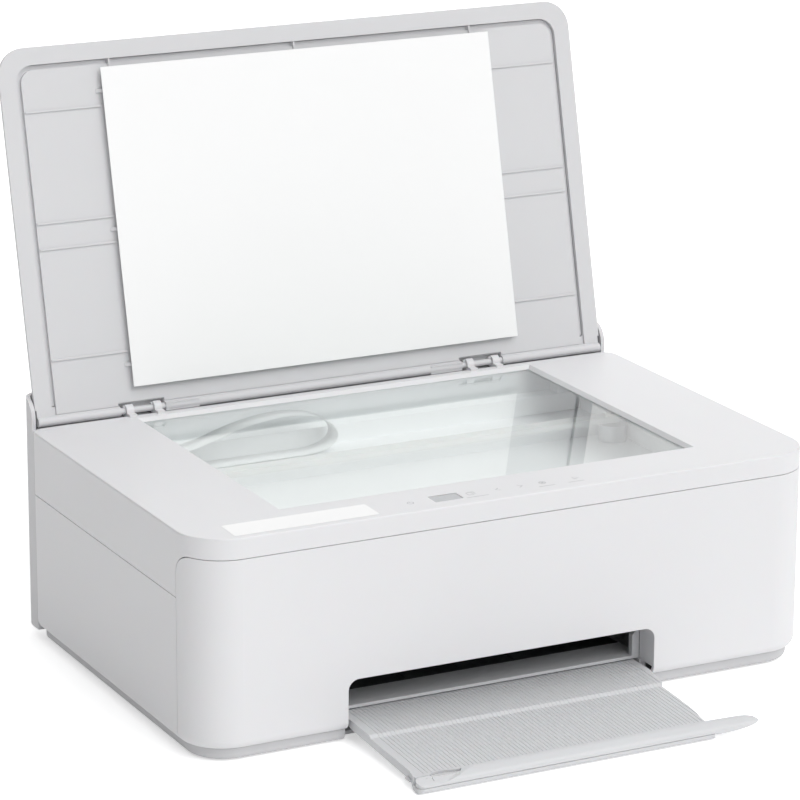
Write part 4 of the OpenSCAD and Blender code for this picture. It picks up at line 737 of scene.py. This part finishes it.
# ---------------------------------------------------------------------------
# Rollers: rubber sleeves on the shafts that pick up, press and let out the
# paper. They are moulded on and then ground to size.
# ---------------------------------------------------------------------------
# Ground rubber: charcoal, dull, with the sandy marks of the grinding wheel.
roller_rubber = moulded(
    "charcoal_rubber_ground", "#3a3b3d", "#45474a",
    roughness=0.8, grit_mm=0.3, pit_mm=0.05,
)
dress(roller_rubber, "exit_roller", "pinch_rollers", "pickup_roller")

# ---------------------------------------------------------------------------
# Gears and pulleys: moulded in acetal, slippery enough to run without oil,
# and pressed on their shafts.
# ---------------------------------------------------------------------------
# Acetal: ivory, waxy, a little light goes into it.
acetal = moulded(
    "ivory_acetal", "#e3e0d6", "#eae7de",
    roughness=0.35, grit_mm=0.7, pit_mm=0.01, glow=0.05, ior=1.48,
)
dress(acetal, "feed_gear", "exit_gear", "idler_gear", "drive_pulley", "idler_pulley", "scan_pulley")

# ---------------------------------------------------------------------------
# Carriage sensor strip: clear polyester film with fine printed lines that the
# carriage counts as it runs.
# ---------------------------------------------------------------------------
STRIP_LINE_MM = 2.0  # true spacing 0.2 mm, drawn coarser so that it shows
clear_film, tree = new_material("clear_polyester_film")
place = add(tree, "ShaderNodeTexCoord").outputs["Object"]
lines = add(
    tree, "ShaderNodeTexWave", {"Vector": place, "Scale": math.tau / (20 * STRIP_LINE_MM * MM)},
    wave_type="BANDS", bands_direction="X",
)
coat(
    tree,
    tone=(lines.outputs[1], "#7f878a", "#e4eaec"),
    relief=(lines.outputs[1], 0.1, 0.01),
    gloss=(lines.outputs[1], 0.1, 0.2),
    settings={"IOR": 1.57, "Transmission Weight": 0.6},
)
dress(clear_film, "encoder_strip")

# ---------------------------------------------------------------------------
# Ink cartridges: two closed cases of moulded plastic, one for black and one for
# colour, that are set into the carriage from the front.
# ---------------------------------------------------------------------------
# Polypropylene: dark, smooth and a little greasy to the eye.
cartridge_pp = moulded(
    "black_polypropylene", "#1d1e20", "#262729",
    roughness=0.3, grit_mm=0.9, pit_mm=0.02, glow=0, ior=1.49,
)
dress(cartridge_pp, "black_cartridge", "colour_cartridge")

# ---------------------------------------------------------------------------
# Electronics: the main board behind the engine, the control board under the
# deck, and the power supply in its own plastic case.
# ---------------------------------------------------------------------------
# Green solder mask on glass-fibre laminate, with paler copper tracks under it.
TRACK_MM = 1.6  # true spacing 0.4 mm, drawn coarser so that it shows
laminate, tree = new_material("green_solder_mask")
place = add(tree, "ShaderNodeTexCoord").outputs["Object"]
tracks = add(
    tree, "ShaderNodeTexVoronoi", {"Vector": place, "Scale": 1 / (TRACK_MM * MM)}, distance="MANHATTAN"
)
edge = add(tree, "ShaderNodeMapRange", {"Value": tracks.outputs[0], "From Min": 0.25, "From Max": 0.4})
coat(
    tree,
    tone=(edge.outputs[0], "#1c5236", "#2f7550"),
    relief=(edge.outputs[0], 0.3, 0.05),
    gloss=(tracks.outputs[0], 0.25, 0.35),
    settings={},
)
dress(laminate, "main_board", "control_board")
dress(dark_abs, "power_supply")
